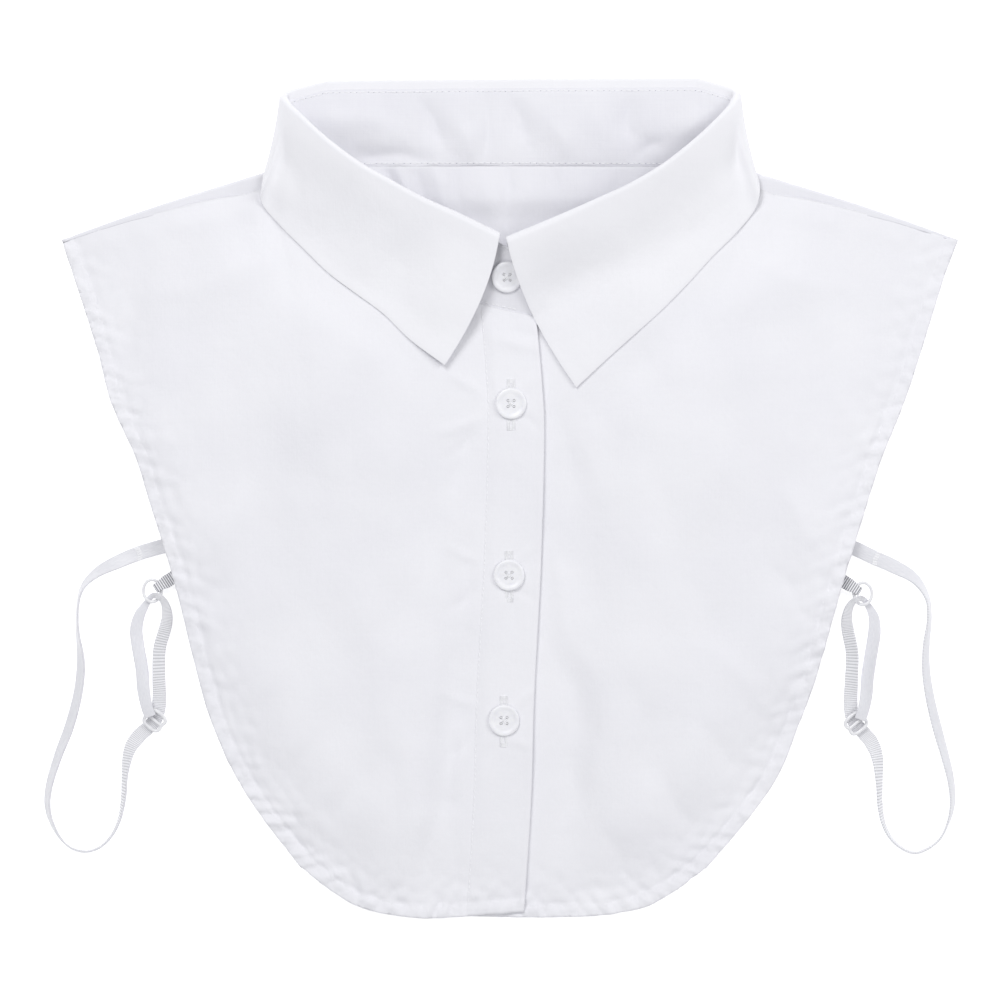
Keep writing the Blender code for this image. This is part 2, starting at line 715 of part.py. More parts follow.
def cloth_sheet(collection, name, surface, wall, material, splits=()):
    item = place(collection, name, grid_mesh(name, surface, splits), material)
    shell = item.modifiers.new("Wall", "SOLIDIFY")
    shell.thickness = wall * MM
    shell.offset = 0.0
    return item


def placket_surface(front):
    """A strip of the front's own points along its free edge, moved out by one step."""
    columns = 4
    strip = []
    for row in front:
        reach = np.concatenate([[0.0], np.cumsum(np.linalg.norm(np.diff(row[:, :2], axis=0), axis=1))])
        wanted = np.linspace(0.0, PLACKET_WIDTH, columns)
        line = np.stack([np.interp(wanted, reach, row[:, axis]) for axis in range(3)], 1)
        line[:, 2] += PLACKET_STEP
        strip.append(line)
    return np.array(strip)


def cut_holes(item, cutters, name):
    joined = bmesh.new()
    for x in (-BUTTON_HOLE_REACH, BUTTON_HOLE_REACH):
        for y in (-BUTTON_HOLE_REACH, BUTTON_HOLE_REACH):
            spot = Matrix.Translation(Vector((x, y, 1.0)) * MM)
            radius = BUTTON_HOLE_RADIUS * MM
            bmesh.ops.create_cone(
                joined,
                cap_ends=True,
                segments=8,
                radius1=radius,
                radius2=radius,
                depth=6.0 * MM,
                matrix=spot,
            )
    mesh = bpy.data.meshes.new(name)
    joined.to_mesh(mesh)
    joined.free()
    return add_cut(item, cutters, name, mesh)


def add_cut(item, cutters, name, mesh):
    cutter = bpy.data.objects.new(name, mesh)
    cutter.hide_render = True
    cutter.display_type = "WIRE"
    cutters.objects.link(cutter)
    cutter.matrix_world = item.matrix_world.copy()
    cut = item.modifiers.new("Cut", "BOOLEAN")
    cut.operation = "DIFFERENCE"
    cut.solver = "EXACT"
    cut.object = cutter
    return cutter


def button(collection, cutters, name, spot, tilt, material):
    mesh = bpy.data.meshes.new(name)
    points = [(radius * MM, 0.0, height * MM) for radius, height in BUTTON_PROFILE]
    edges = [(index, index + 1) for index in range(len(points) - 1)]
    mesh.from_pydata(points, edges, [])
    item = place(collection, name, mesh, material)
    item.matrix_world = Matrix.Translation(Vector(spot) * MM) @ Matrix.Rotation(math.radians(tilt), 4, "X")
    spin = item.modifiers.new("Turn", "SCREW")
    spin.steps = BUTTON_STEPS
    spin.render_steps = BUTTON_STEPS
    spin.use_merge_vertices = True
    spin.merge_threshold = MERGE_REACH
    spin.use_smooth_shade = True
    cut_holes(item, cutters, name + "_holes")
    return item


def strap_surface(rows):
    """A ribbon along its route, turned about its own line by the twist column and kept
    above the ground."""
    line = smooth_rows(rows, STRAP_STEPS)
    tangents = np.gradient(line[:, :3], axis=0)
    flat = np.array([0.0, 1.0, 0.0])
    grid = []
    for point, tangent in zip(line, tangents):
        along = unit(tangent)
        level = np.array([-along[1], along[0], 0.0])
        if np.linalg.norm(level) > 0.3:
            level = unit(level)
            flat = level if level @ flat > 0 else -level
        normal = unit(np.cross(along, flat))
        angle = math.radians(point[4])
        across = flat * math.cos(angle) + normal * math.sin(angle)
        half_height = abs(across[2]) * point[3] / 2 + math.hypot(across[0], across[1]) * STRAP_WALL / 2
        middle = np.array([point[0], point[1], max(point[2], half_height + 0.05)])
        grid.append([middle - across * point[3] / 2, middle + across * point[3] / 2])
    return np.array(grid)


def tab_surface(side, centre):
    """A ribbon that runs from the panel's side round the ring's wire."""
    run = np.array([-side * TAB_DIRECTION[0], TAB_DIRECTION[1], 0.0])
    across = np.array([-run[1], run[0], 0.0]) * TAB_WIDTH / 2
    grid = []
    for reach, height in smooth_line([(reach, z, 0.0) for reach, z in TAB_ROUTE], even(TAB_STATIONS))[:, :2]:
        point = np.array([centre[0], centre[1], height]) + run * reach
        grid.append([point - across, point + across])
    return np.array(grid)


def ring(collection, name, centre, material):
    """A torus drawn out to an oval, its wire kept round."""
    bpy.ops.mesh.primitive_torus_add(
        major_segments=24,
        minor_segments=8,
        major_radius=RING_HALF_HEIGHT * MM,
        minor_radius=RING_WIRE * MM,
    )
    item = bpy.context.object
    for vertex in item.data.vertices:
        angle = math.atan2(vertex.co.y, vertex.co.x)
        vertex.co.x -= (RING_HALF_HEIGHT - RING_HALF_WIDTH) * math.cos(angle) * MM
    for holder in list(item.users_collection):
        holder.objects.unlink(item)
    collection.objects.link(item)
    item.name = name
    item.data.name = name
    item.data.materials.append(material)
    item.data.shade_smooth()
    item.location = Vector(centre) * MM
    return item


def slider(collection, cutters, name, centre, turn, material):
    work = bmesh.new()
    bmesh.ops.create_cube(work, size=1.0)
    bmesh.ops.scale(work, vec=Vector((SLIDER_WIDTH, SLIDER_LENGTH, SLIDER_WALL)) * MM, verts=work.verts)
    mesh = bpy.data.meshes.new(name)
    work.to_mesh(mesh)
    work.free()
    item = place(collection, name, mesh, material)
    mesh.shade_flat()
    item.matrix_world = Matrix.Translation(Vector(centre) * MM) @ Matrix.Rotation(math.radians(turn), 4, "Z")
    edge = item.modifiers.new("Round corners", "BEVEL")
    edge.width = 0.4 * MM
    edge.segments = 1
    window = (SLIDER_LENGTH - 3.0 * SLIDER_BAR) / 2
    cutter = bmesh.new()
    for way in (-1, 1):
        spot = Matrix.Translation(Vector((0.0, way * (window + SLIDER_BAR) / 2, 0.0)) * MM)
        size = Matrix.Diagonal((*(Vector((SLIDER_WIDTH - 2.0 * SLIDER_BAR, window, 6.0)) * MM), 1.0))
        bmesh.ops.create_cube(cutter, size=1.0, matrix=spot @ size)
    cut_mesh = bpy.data.meshes.new(name + "_windows")
    cutter.to_mesh(cut_mesh)
    cutter.free()
    add_cut(item, cutters, name + "_windows", cut_mesh)
    return item


def build():
    clear_scene()
    parts = new_collection(OBJECT_NAME)
    cutters = new_collection("cutters")
    cotton = finish_material("white_cotton", (0.86, 0.87, 0.90), 0.85)
    pearl = finish_material("button_plastic", (0.88, 0.88, 0.90), 0.3)
    elastic = finish_material("strap_elastic", (0.80, 0.80, 0.83), 0.6)
    gloss = finish_material("slider_plastic", (0.86, 0.86, 0.88), 0.25)

    back = back_surface()
    corners = (SHOULDER_COLUMNS - 1, back.shape[1] - SHOULDER_COLUMNS - 1)
    cloth_sheet(parts, "back_panel", back, PANEL_WALL, cotton, corners)
    front_right = front_surface(-1)
    front_left = front_surface(1)
    cloth_sheet(parts, "front_right", front_right, PANEL_WALL, cotton)
    cloth_sheet(parts, "front_left", front_left, PANEL_WALL, cotton)
    cloth_sheet(parts, "placket", placket_surface(front_right), PANEL_WALL, cotton)
    cloth_sheet(parts, "neckband", band_surface(), COLLAR_WALL, cotton)
    cloth_sheet(parts, "collar_leaf", leaf_surface(), COLLAR_WALL, cotton)

    for number, (x, y, height, tilt) in enumerate(BUTTONS, start=1):
        button(parts, cutters, "button_" + str(number), (x, y, height), tilt, pearl)

    for name, side, strap, ring_spot, slider_spot in (
        ("right", -1, STRAP_RIGHT, RING_RIGHT, SLIDER_RIGHT),
        ("left", 1, STRAP_LEFT, RING_LEFT, SLIDER_LEFT),
    ):
        cloth_sheet(parts, "strap_" + name, strap_surface(strap), STRAP_WALL, elastic)
        cloth_sheet(parts, "tab_" + name, tab_surface(side, ring_spot), TAB_WALL, elastic)
        ring(parts, "ring_" + name, ring_spot, gloss)
        slider(parts, cutters, "slider_" + name, slider_spot[:3], slider_spot[3], gloss)


build()
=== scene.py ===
# Detachable shirt collar, laid flat and buttoned. The cloth, straps, buttons and stitches are
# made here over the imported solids, in their place.
# Tables and sizes are in millimetres. "Right" and "Left" are the wearer's, -X and +X.
import math

import bmesh
import bpy
import numpy as np
from mathutils import Matrix, Vector, noise
from mathutils.bvhtree import BVHTree
from mathutils.kdtree import KDTree


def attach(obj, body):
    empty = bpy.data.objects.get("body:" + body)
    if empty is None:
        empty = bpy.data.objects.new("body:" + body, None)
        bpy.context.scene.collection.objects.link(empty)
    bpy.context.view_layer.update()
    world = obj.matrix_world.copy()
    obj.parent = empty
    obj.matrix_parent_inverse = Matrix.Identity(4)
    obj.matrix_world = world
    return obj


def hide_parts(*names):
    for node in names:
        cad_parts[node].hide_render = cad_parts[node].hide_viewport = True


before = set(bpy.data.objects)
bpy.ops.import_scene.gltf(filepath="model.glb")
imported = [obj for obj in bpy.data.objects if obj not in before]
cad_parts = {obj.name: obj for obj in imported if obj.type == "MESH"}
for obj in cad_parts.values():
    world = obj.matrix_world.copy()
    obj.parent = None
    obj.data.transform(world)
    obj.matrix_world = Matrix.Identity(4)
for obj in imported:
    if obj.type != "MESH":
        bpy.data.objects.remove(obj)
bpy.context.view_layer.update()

mm = 0.001
pieces = bpy.data.collections.new("dressed")
bpy.context.scene.collection.children.link(pieces)


# Camera, straight above the cloth
cameraFrame = {
    "lens": 85.0,
    "wide": 0.4,
    "middle": (-0.004, 0.0),
    "level": 0.005,
}


def makeCamera(facts):
    lens = bpy.data.cameras.new("camera")
    lens.lens = facts["lens"]
    camera = bpy.data.objects.new("camera", lens)
    reach = facts["wide"] * facts["lens"] / lens.sensor_width
    camera.location = (*facts["middle"], facts["level"] + reach)
    bpy.context.scene.collection.objects.link(camera)
    bpy.context.scene.camera = camera


makeCamera(cameraFrame)
print("camera placed")


# Curves and surfaces. A surface is an array of rows of points.
def smoothRows(rows, steps):
    points = np.array(rows, dtype=float)
    padded = np.vstack([2 * points[0] - points[1], points, 2 * points[-1] - points[-2]])
    dense = []
    for first in range(len(points) - 1):
        before, start, end, after = padded[first : first + 4]
        for step in range(steps):
            t = step / steps
            bend = 2 * before - 5 * start + 4 * end - after
            twist = 3 * start - before - 3 * end + after
            dense.append(0.5 * (2 * start + (end - before) * t + bend * t**2 + twist * t**3))
    dense.append(points[-1])
    return np.array(dense)


def reachAlong(points, axes=3):
    steps = np.linalg.norm(np.diff(points[:, :axes], axis=0), axis=1)
    return np.concatenate([[0.0], np.cumsum(steps)])


def atReach(points, reach, wanted):
    return np.stack([np.interp(wanted, reach, points[:, axis]) for axis in range(points.shape[1])], 1)


def smoothLine(rows, shares):
    dense = smoothRows(rows, 16)
    reach = reachAlong(dense)
    return atReach(dense, reach, np.asarray(shares) * reach[-1])


def even(count):
    return np.linspace(0.0, 1.0, count + 1)


def smoothStep(value, low, high):
    t = np.clip((value - low) / (high - low), 0.0, 1.0)
    return t * t * (3.0 - 2.0 * t)


def unit(vector):
    return vector / np.linalg.norm(vector)


def runningMean(values, count):
    return np.convolve(np.pad(values, count // 2, "edge"), np.ones(count) / count, "valid")


def surfaceNormals(surface):
    normals = np.cross(np.gradient(surface, axis=0), np.gradient(surface, axis=1))
    return normals / np.maximum(np.linalg.norm(normals, axis=2, keepdims=True), 1e-9)


def bell(value, width, power=2):
    return np.exp(-((value / width) ** power))


def lengthShares(points):
    reach = reachAlong(points, 2)
    return reach / reach[-1]


def softFold(x, y, x1, y1, x2, y2, width, rise, bow=0.0, power=1.6):
    # a ridge, or below zero a trough, that swells and dies along its line
    run = np.array([x2 - x1, y2 - y1])
    length = np.hypot(*run)
    share = np.clip(((x - x1) * run[0] + (y - y1) * run[1]) / length**2, 0.0, 1.0)
    bend = bow * np.sin(math.pi * share) + 0.35 * bow * np.sin(2.7 * math.pi * share + x1)
    footX = x1 + share * run[0] - bend * run[1] / length
    footY = y1 + share * run[1] + bend * run[0] / length
    fade = np.sin(math.pi * (0.15 + 0.7 * share))
    return rise * fade * bell(np.hypot(x - footX, y - footY), width, power)


def foldsOn(x, y, rows, height=0.0):
    for row in rows:
        height = height + softFold(x, y, *row)
    return height


def outerEdge(front):
    # down a front's side and back along its hem
    return np.vstack([front[:, -1], front[-1, -2::-1]])


def coonsPatch(top, bottom, centre, side, shares):
    u = np.asarray(shares)[None, :, None]
    v = np.linspace(0.0, 1.0, len(centre))[:, None, None]
    across = (1 - u) * centre[:, None, :] + u * side[:, None, :]
    down = (1 - v) * top[None, :, :] + v * bottom[None, :, :]
    corners = (
        (1 - u) * (1 - v) * top[0]
        + u * (1 - v) * top[-1]
        + (1 - u) * v * bottom[0]
        + u * v * bottom[-1]
    )
    return across + down - corners


# Mesh helpers
def gridWork(surface, splits=(), ends=False):
    rows, columns = surface.shape[0] - 1, surface.shape[1] - 1
    work = bmesh.new()
    work.loops.layers.uv.new("UVMap")
    bmesh.ops.create_grid(work, x_segments=columns, y_segments=rows, size=0.5, calc_uvs=True)
    parted = []
    for face in work.faces:
        if round((face.calc_center_median().x + 0.5) * columns - 0.5) in splits:
            parted.append(face)
    bmesh.ops.delete(work, geom=parted, context="FACES")
    for vertex in work.verts:
        column = round((vertex.co.x + 0.5) * columns)
        row = round((vertex.co.y + 0.5) * rows)
        vertex.co = Vector(surface[row, column]) * mm
    bmesh.ops.remove_doubles(work, verts=work.verts, dist=0.00001)
    if ends:
        bmesh.ops.holes_fill(work, edges=[edge for edge in work.edges if edge.is_boundary], sides=0)
        bmesh.ops.recalc_face_normals(work, faces=work.faces)
    return work


def makeObject(name, work, materials=()):
    mesh = bpy.data.meshes.new(name)
    work.to_mesh(mesh)
    work.free()
    for material in materials:
        mesh.materials.append(material)
    made = bpy.data.objects.new(name, mesh)
    pieces.objects.link(made)
    return made


def makePiece(name, work, materials):
    piece = makeObject(name, work, materials)
    piece.data.shade_smooth()
    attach(piece, "root")
    return piece


def addWall(piece, wall, rim=0.0, rimAngle=60):
    shell = piece.modifiers.new("Wall", "SOLIDIFY")
    shell.thickness = wall * mm
    shell.offset = 0.0
    if rim:
        edge = piece.modifiers.new("Soft edge", "BEVEL")
        edge.width = rim * mm
        edge.segments = 2
        edge.limit_method = "ANGLE"
        edge.angle_limit = math.radians(rimAngle)
    return shell


def clothPiece(name, surface, wall, material, splits=(), rim=0.0):
    piece = makePiece(name, gridWork(surface, splits), [material])
    addWall(piece, wall, rim)
    return piece


def joinInto(work, part):
    # a working mesh takes in another one only by way of a stored mesh
    spare = bpy.data.meshes.new("spare")
    part.to_mesh(spare)
    part.free()
    work.from_mesh(spare)
    bpy.data.meshes.remove(spare)


def surfaceTree(*surfaces):
    joined = bmesh.new()
    for surface in surfaces:
        joinInto(joined, gridWork(surface))
    tree = BVHTree.FromBMesh(joined)
    joined.free()
    return tree


def heightOn(tree, x, y):
    # height of the highest cloth at a place, looked for from well above
    start = Vector((x, y, 60.0)) * mm
    hit = tree.ray_cast(start, Vector((0, 0, -1.0)))[0]
    if hit is None:
        hit = tree.find_nearest(Vector((x, y, 5.0)) * mm)[0]
    return hit.z / mm


def tubeSurface(points, radius, sides=12, closed=False):
    # a round bar along a line, its section turned as little as possible from row to row
    line = np.array(points, dtype=float)
    if closed:
        tangents = np.roll(line, -1, axis=0) - np.roll(line, 1, axis=0)
    else:
        tangents = np.gradient(line, axis=0)
    radii = np.broadcast_to(np.asarray(radius, dtype=float), (len(line),))
    normal = np.cross(unit(tangents[0]), [0.0, 0.0, 1.0])
    if np.linalg.norm(normal) < 0.1:
        normal = np.cross(unit(tangents[0]), [0.0, 1.0, 0.0])
    grid = []
    for point, tangent, size in zip(line, tangents, radii):
        along = unit(tangent)
        normal = unit(normal - along * (normal @ along))
        side = np.cross(along, normal)
        turns = np.linspace(0.0, 2.0 * math.pi, sides + 1)
        grid.append([point + size * (normal * math.cos(turn) + side * math.sin(turn)) for turn in turns])
    if closed:
        grid.append(grid[0])
    return np.array(grid)


# Materials
def newMaterial(name, colour, roughness, lay="Object", **sockets):
    material = bpy.data.materials.new(name)
    material.use_nodes = True
    tree = material.node_tree
    shader = tree.nodes["Principled BSDF"]
    shader.inputs["Base Color"].default_value = (*colour, 1.0)
    shader.inputs["Roughness"].default_value = roughness
    for socket, value in sockets.items():
        shader.inputs[socket.replace("_", " ")].default_value = value
    return material, tree, shader, tree.nodes.new("ShaderNodeTexCoord").outputs[lay]


def node(tree, kind, **facts):
    made = tree.nodes.new("ShaderNode" + kind)
    for name, value in facts.items():
        if name in made.inputs:
            made.inputs[name].default_value = value
        else:
            setattr(made, name, value)
    return made


def mathNode(tree, operation, first, second):
    made = node(tree, "Math", operation=operation)
    for socket, value in zip(made.inputs, (first, second)):
        if isinstance(value, (int, float)):
            socket.default_value = value
        else:
            tree.links.new(value, socket)
    return made.outputs[0]


def mixed(tree, *parts):
    first, second = [mathNode(tree, "MULTIPLY", value, share) for value, share in parts]
    return mathNode(tree, "ADD", first, second)


def mapped(tree, source, scale, turn=0.0):
    made = node(tree, "Mapping")
    made.inputs["Scale"].default_value = scale
    made.inputs["Rotation"].default_value = (0.0, 0.0, turn)
    tree.links.new(source, made.inputs["Vector"])
    return made.outputs[0]


def noiseOn(tree, vector, scale, detail=2.0, roughness=0.5):
    made = node(tree, "TexNoise", Scale=scale, Detail=detail, Roughness=roughness)
    tree.links.new(vector, made.inputs["Vector"])
    return made.outputs["Fac"]


def waveOn(tree, vector, pitch, direction):
    # a plain sine of this pitch in metres
    made = node(tree, "TexWave", wave_type="BANDS", bands_direction=direction)
    made.inputs["Scale"].default_value = 2.0 * math.pi / (20.0 * pitch)
    tree.links.new(vector, made.inputs["Vector"])
    return made.outputs["Fac"]


def bumpChain(tree, shader, layers):
    normal = None
    for height, strength, distance in layers:
        made = node(tree, "Bump", Strength=strength, Distance=distance)
        tree.links.new(height, made.inputs["Height"])
        if normal is not None:
            tree.links.new(normal, made.inputs["Normal"])
        normal = made.outputs[0]
    tree.links.new(normal, shader.inputs["Normal"])


def tinted(tree, shader, factor, dark, light, low=0.3, high=0.7):
    ramp = node(tree, "ValToRGB")
    ramp.color_ramp.elements[0].position = low
    ramp.color_ramp.elements[1].position = high
    ramp.color_ramp.elements[0].color = (*dark, 1.0)
    ramp.color_ramp.elements[1].color = (*light, 1.0)
    tree.links.new(factor, ramp.inputs["Fac"])
    tree.links.new(ramp.outputs["Color"], shader.inputs["Base Color"])


def roughened(tree, shader, factor, low, high):
    made = node(tree, "MapRange")
    made.inputs["To Min"].default_value = low
    made.inputs["To Max"].default_value = high
    tree.links.new(factor, made.inputs["Value"])
    tree.links.new(made.outputs[0], shader.inputs["Roughness"])


# Cotton: its colours, the weave's pitch in metres, and the bumps of crumple, thick threads and
# weave, each a strength and a depth in metres
poplin = {
    "light": (0.855, 0.852, 0.888),
    "dark": (0.815, 0.812, 0.855),
    "pitch": 0.00036,
    "crumple": (0.5, 0.0012),
    "slub": (0.35, 0.00012),
    "weave": (0.3, 0.00005),
    "roughness": (0.74, 0.9),
}
# lighter copy of the cotton for the collar leaf: painted light on the leaf's wings
collarPoplinPaintedLight = {**poplin, "light": (0.868, 0.865, 0.896), "dark": (0.83, 0.827, 0.864)}
# darker copy of the cotton for the whole neckband: painted shade of the collar leaf over the inside of the
# neck
bandPoplinPaintedShade = {**poplin, "light": (0.82, 0.817, 0.855), "dark": (0.74, 0.737, 0.79)}
# darker copy of the cotton for the whole back panel: painted shade inside the neck
backPoplinPaintedShade = {**poplin, "light": (0.812, 0.809, 0.85), "dark": (0.752, 0.749, 0.8)}


def cottonMaterial(name, facts):
    material, tree, shader, place = newMaterial(
        name, facts["light"], 0.82, Sheen_Weight=0.12, Sheen_Roughness=0.5, Specular_IOR_Level=0.25)
    across = waveOn(tree, place, facts["pitch"], "X")
    along = waveOn(tree, place, facts["pitch"] * 0.86, "Y")
    weave = mathNode(tree, "MAXIMUM", across, along)
    slubAcross = noiseOn(tree, mapped(tree, place, (60.0, 2600.0, 60.0)), 1.0, 2.0)
    slubAlong = noiseOn(tree, mapped(tree, place, (2300.0, 50.0, 60.0)), 1.0, 2.0)
    slub = mixed(tree, (slubAcross, 0.5), (slubAlong, 0.5))
    crumple = noiseOn(tree, mapped(tree, place, (70.0, 52.0, 70.0), 0.5), 1.0, 4.0, 0.55)
    soft = noiseOn(tree, mapped(tree, place, (18.0, 24.0, 20.0), 0.9), 1.0, 2.0)
    shade = mixed(tree, (soft, 0.7), (slub, 0.3))
    tinted(tree, shader, shade, facts["dark"], facts["light"], low=0.25, high=0.6)
    roughened(tree, shader, slub, *facts["roughness"])
    layers = ((crumple, *facts["crumple"]), (slub, *facts["slub"]), (weave, *facts["weave"]))
    bumpChain(tree, shader, layers)
    return material


# Finish of the small parts: colour and roughness, how fine the grain is, and its dark and light
# colours. A bump is a strength and a depth in metres.
finishes = {
    "sewingThread": {
        "base": ((0.93, 0.93, 0.95), 0.6),
        "more": {"Sheen_Weight": 0.2},
        "grain": (5200.0, 2.0),
        "colours": ((0.88, 0.88, 0.91), (0.96, 0.96, 0.975)),
        "roughness": (0.5, 0.75),
        "bump": (0.3, 0.00003),
        "twist": 0.0003,
    },
    # grey of the needle holes: painted shade in the holes along the band's seams
    "needleHoleShade": {
        "base": ((0.42, 0.42, 0.47), 0.9),
        "grain": (3800.0, 2.0),
        "colours": ((0.36, 0.36, 0.41), (0.52, 0.52, 0.57)),
        "bump": (0.5, 0.00008),
    },
    "buttonPearl": {
        "base": ((0.86, 0.86, 0.895), 0.38),
        "more": {
            "Coat_Weight": 0.12,
            "Coat_Roughness": 0.3,
            "Subsurface_Weight": 0.15,
            "Subsurface_Radius": (0.002, 0.002, 0.0018),
            "Subsurface_Scale": 1.0,
        },
        "stretch": ((240.0, 420.0, 240.0), 0.7),
        "grain": (1.0, 3.0, 0.6),
        "colours": ((0.83, 0.83, 0.87), (0.9, 0.9, 0.925)),
        "roughness": (0.32, 0.45),
        "fineGrain": (900.0, 2.0),
        "bump": (0.12, 0.0001),
    },
    "sliderPlastic": {
        "base": ((0.84, 0.84, 0.86), 0.2),
        "more": {"Coat_Weight": 0.2},
        "grain": (420.0, 3.0),
        "colours": ((0.79, 0.79, 0.82), (0.87, 0.87, 0.885)),
        "roughness": (0.16, 0.32),
        "fineGrain": (1500.0, 2.0),
        "bump": (0.15, 0.00006),
    },
}


def finishMaterial(name):
    facts = finishes[name]
    material, tree, shader, place = newMaterial(name, *facts["base"], **facts.get("more", {}))
    lay = mapped(tree, place, *facts["stretch"]) if "stretch" in facts else place
    grain = noiseOn(tree, lay, *facts["grain"])
    tinted(tree, shader, grain, *facts["colours"])
    if "roughness" in facts:
        roughened(tree, shader, grain, *facts["roughness"])
    relief = noiseOn(tree, place, *facts["fineGrain"]) if "fineGrain" in facts else grain
    bumps = [(relief, *facts["bump"])]
    if "twist" in facts:
        twist = waveOn(tree, mapped(tree, place, (1.0, 1.0, 1.0), 0.6), facts["twist"], "X")
        bumps.insert(0, (twist, 0.5, 0.00005))
    bumpChain(tree, shader, bumps)
    return material


def elasticMaterial(name, ribs, long, wide, grooveShade=0.6):
    # reads the ribbon's own UV: v runs along it and u across it, made metres by the mapping
    material, tree, shader, lay = newMaterial(name, (0.79, 0.79, 0.825), 0.5, "UV", Sheen_Weight=0.15)
    metres = mapped(tree, lay, (wide * mm, long * mm, 1.0))
    if ribs:
        relief = waveOn(tree, metres, 0.0009, "Y")
        fine = waveOn(tree, metres, 0.00042, "X")
        bumpChain(tree, shader, ((relief, 0.5, 0.0002), (fine, 0.25, 0.00008)))
        # the rib grooves are tinted darker than the ribs: painted shade in the grooves
        tinted(tree, shader, relief, (grooveShade, grooveShade, grooveShade + 0.03), (0.88, 0.88, 0.91), low=0.05, high=0.6)
        roughened(tree, shader, relief, 0.7, 0.5)
    else:
        relief = waveOn(tree, mapped(tree, metres, (1.0, 1.0, 1.0), 0.9), 0.0004, "X")
        yarn = noiseOn(tree, mapped(tree, metres, (5200.0, 500.0, 1.0)), 1.0, 2.0)
        bumpChain(tree, shader, ((relief, 0.25, 0.00005), (yarn, 0.4, 0.00008)))
        tinted(tree, shader, yarn, (0.70, 0.70, 0.745), (0.80, 0.80, 0.83))
        roughened(tree, shader, yarn, 0.32, 0.5)
    return material


cotton = cottonMaterial("whitePoplin", poplin)
collarCottonPaintedLight = cottonMaterial("collarPoplinPaintedLight", collarPoplinPaintedLight)
bandCottonPaintedShade = cottonMaterial("bandPoplinPaintedShade", bandPoplinPaintedShade)
backCottonPaintedShade = cottonMaterial("backPoplinPaintedShade", backPoplinPaintedShade)
thread = finishMaterial("sewingThread")
needleHoleShade = finishMaterial("needleHoleShade")
pearl = finishMaterial("buttonPearl")
gloss = finishMaterial("sliderPlastic")
print("materials made")


# Small parts made of many alike
def addBar(work, middle, along, size):
    # one stitch: a small ball drawn out to length, width and height
    forward = Vector(along).normalized()
    side = Vector((0.0, 0.0, 1.0)).cross(forward)
    if side.length < 0.001:
        side = Vector((1.0, 0.0, 0.0)).cross(forward)
    side.normalize()
    top = forward.cross(side)
    turn = Matrix((forward, side, top)).transposed().to_4x4()
    stretch = Matrix.Diagonal((size[0] / 2 * mm, size[1] / 2 * mm, size[2] / 2 * mm, 1.0))
    spot = Matrix.Translation(Vector(middle) * mm)
    lying = Matrix.Rotation(math.pi / 2, 4, "Y")
    bmesh.ops.create_uvsphere(
        work, u_segments=6, v_segments=4, radius=1.0, matrix=spot @ turn @ stretch @ lying)


def addBars(work, bars):
    # in small lots, because an operator slows down as its mesh grows
    lotSize = 24
    for first in range(0, len(bars), lotSize):
        lot = bmesh.new()
        for bar in bars[first : first + lotSize]:
            addBar(lot, *bar)
        joinInto(work, lot)


# Stitches: length, width and height of each, the pitch between them, and how far they wander
stitches = {
    "hem": ((1.3, 0.26, 0.22), 2.1, 0.05),
    "placket": ((1.8, 0.34, 0.3), 2.4, 0.05),
    "band": ((1.75, 0.42, 0.38), 2.3, 0.04),
    # small grey pits beside the band's stitches: painted shade of the needle holes
    "pitShade": ((0.55, 0.42, 0.3), 2.3, 0.04),
}


def stitchLine(work, points, size, pitch, wander, seed, start=0.5):
    line = np.array(points, dtype=float)
    reach = reachAlong(line)
    bars = []
    for step in range(int(reach[-1] / pitch)):
        place = (step + start) * pitch + 0.12 * pitch * math.sin(seed + step * 2.3)
        here = atReach(line, reach, np.array([place - size[0] / 2, place, place + size[0] / 2]))
        along = here[2] - here[0]
        side = unit(np.array([-along[1], along[0], 0.0001])) * wander * math.sin(seed * 3 + step * 1.7)
        bars.append((here[1] + side, along, size))
    addBars(work, bars)


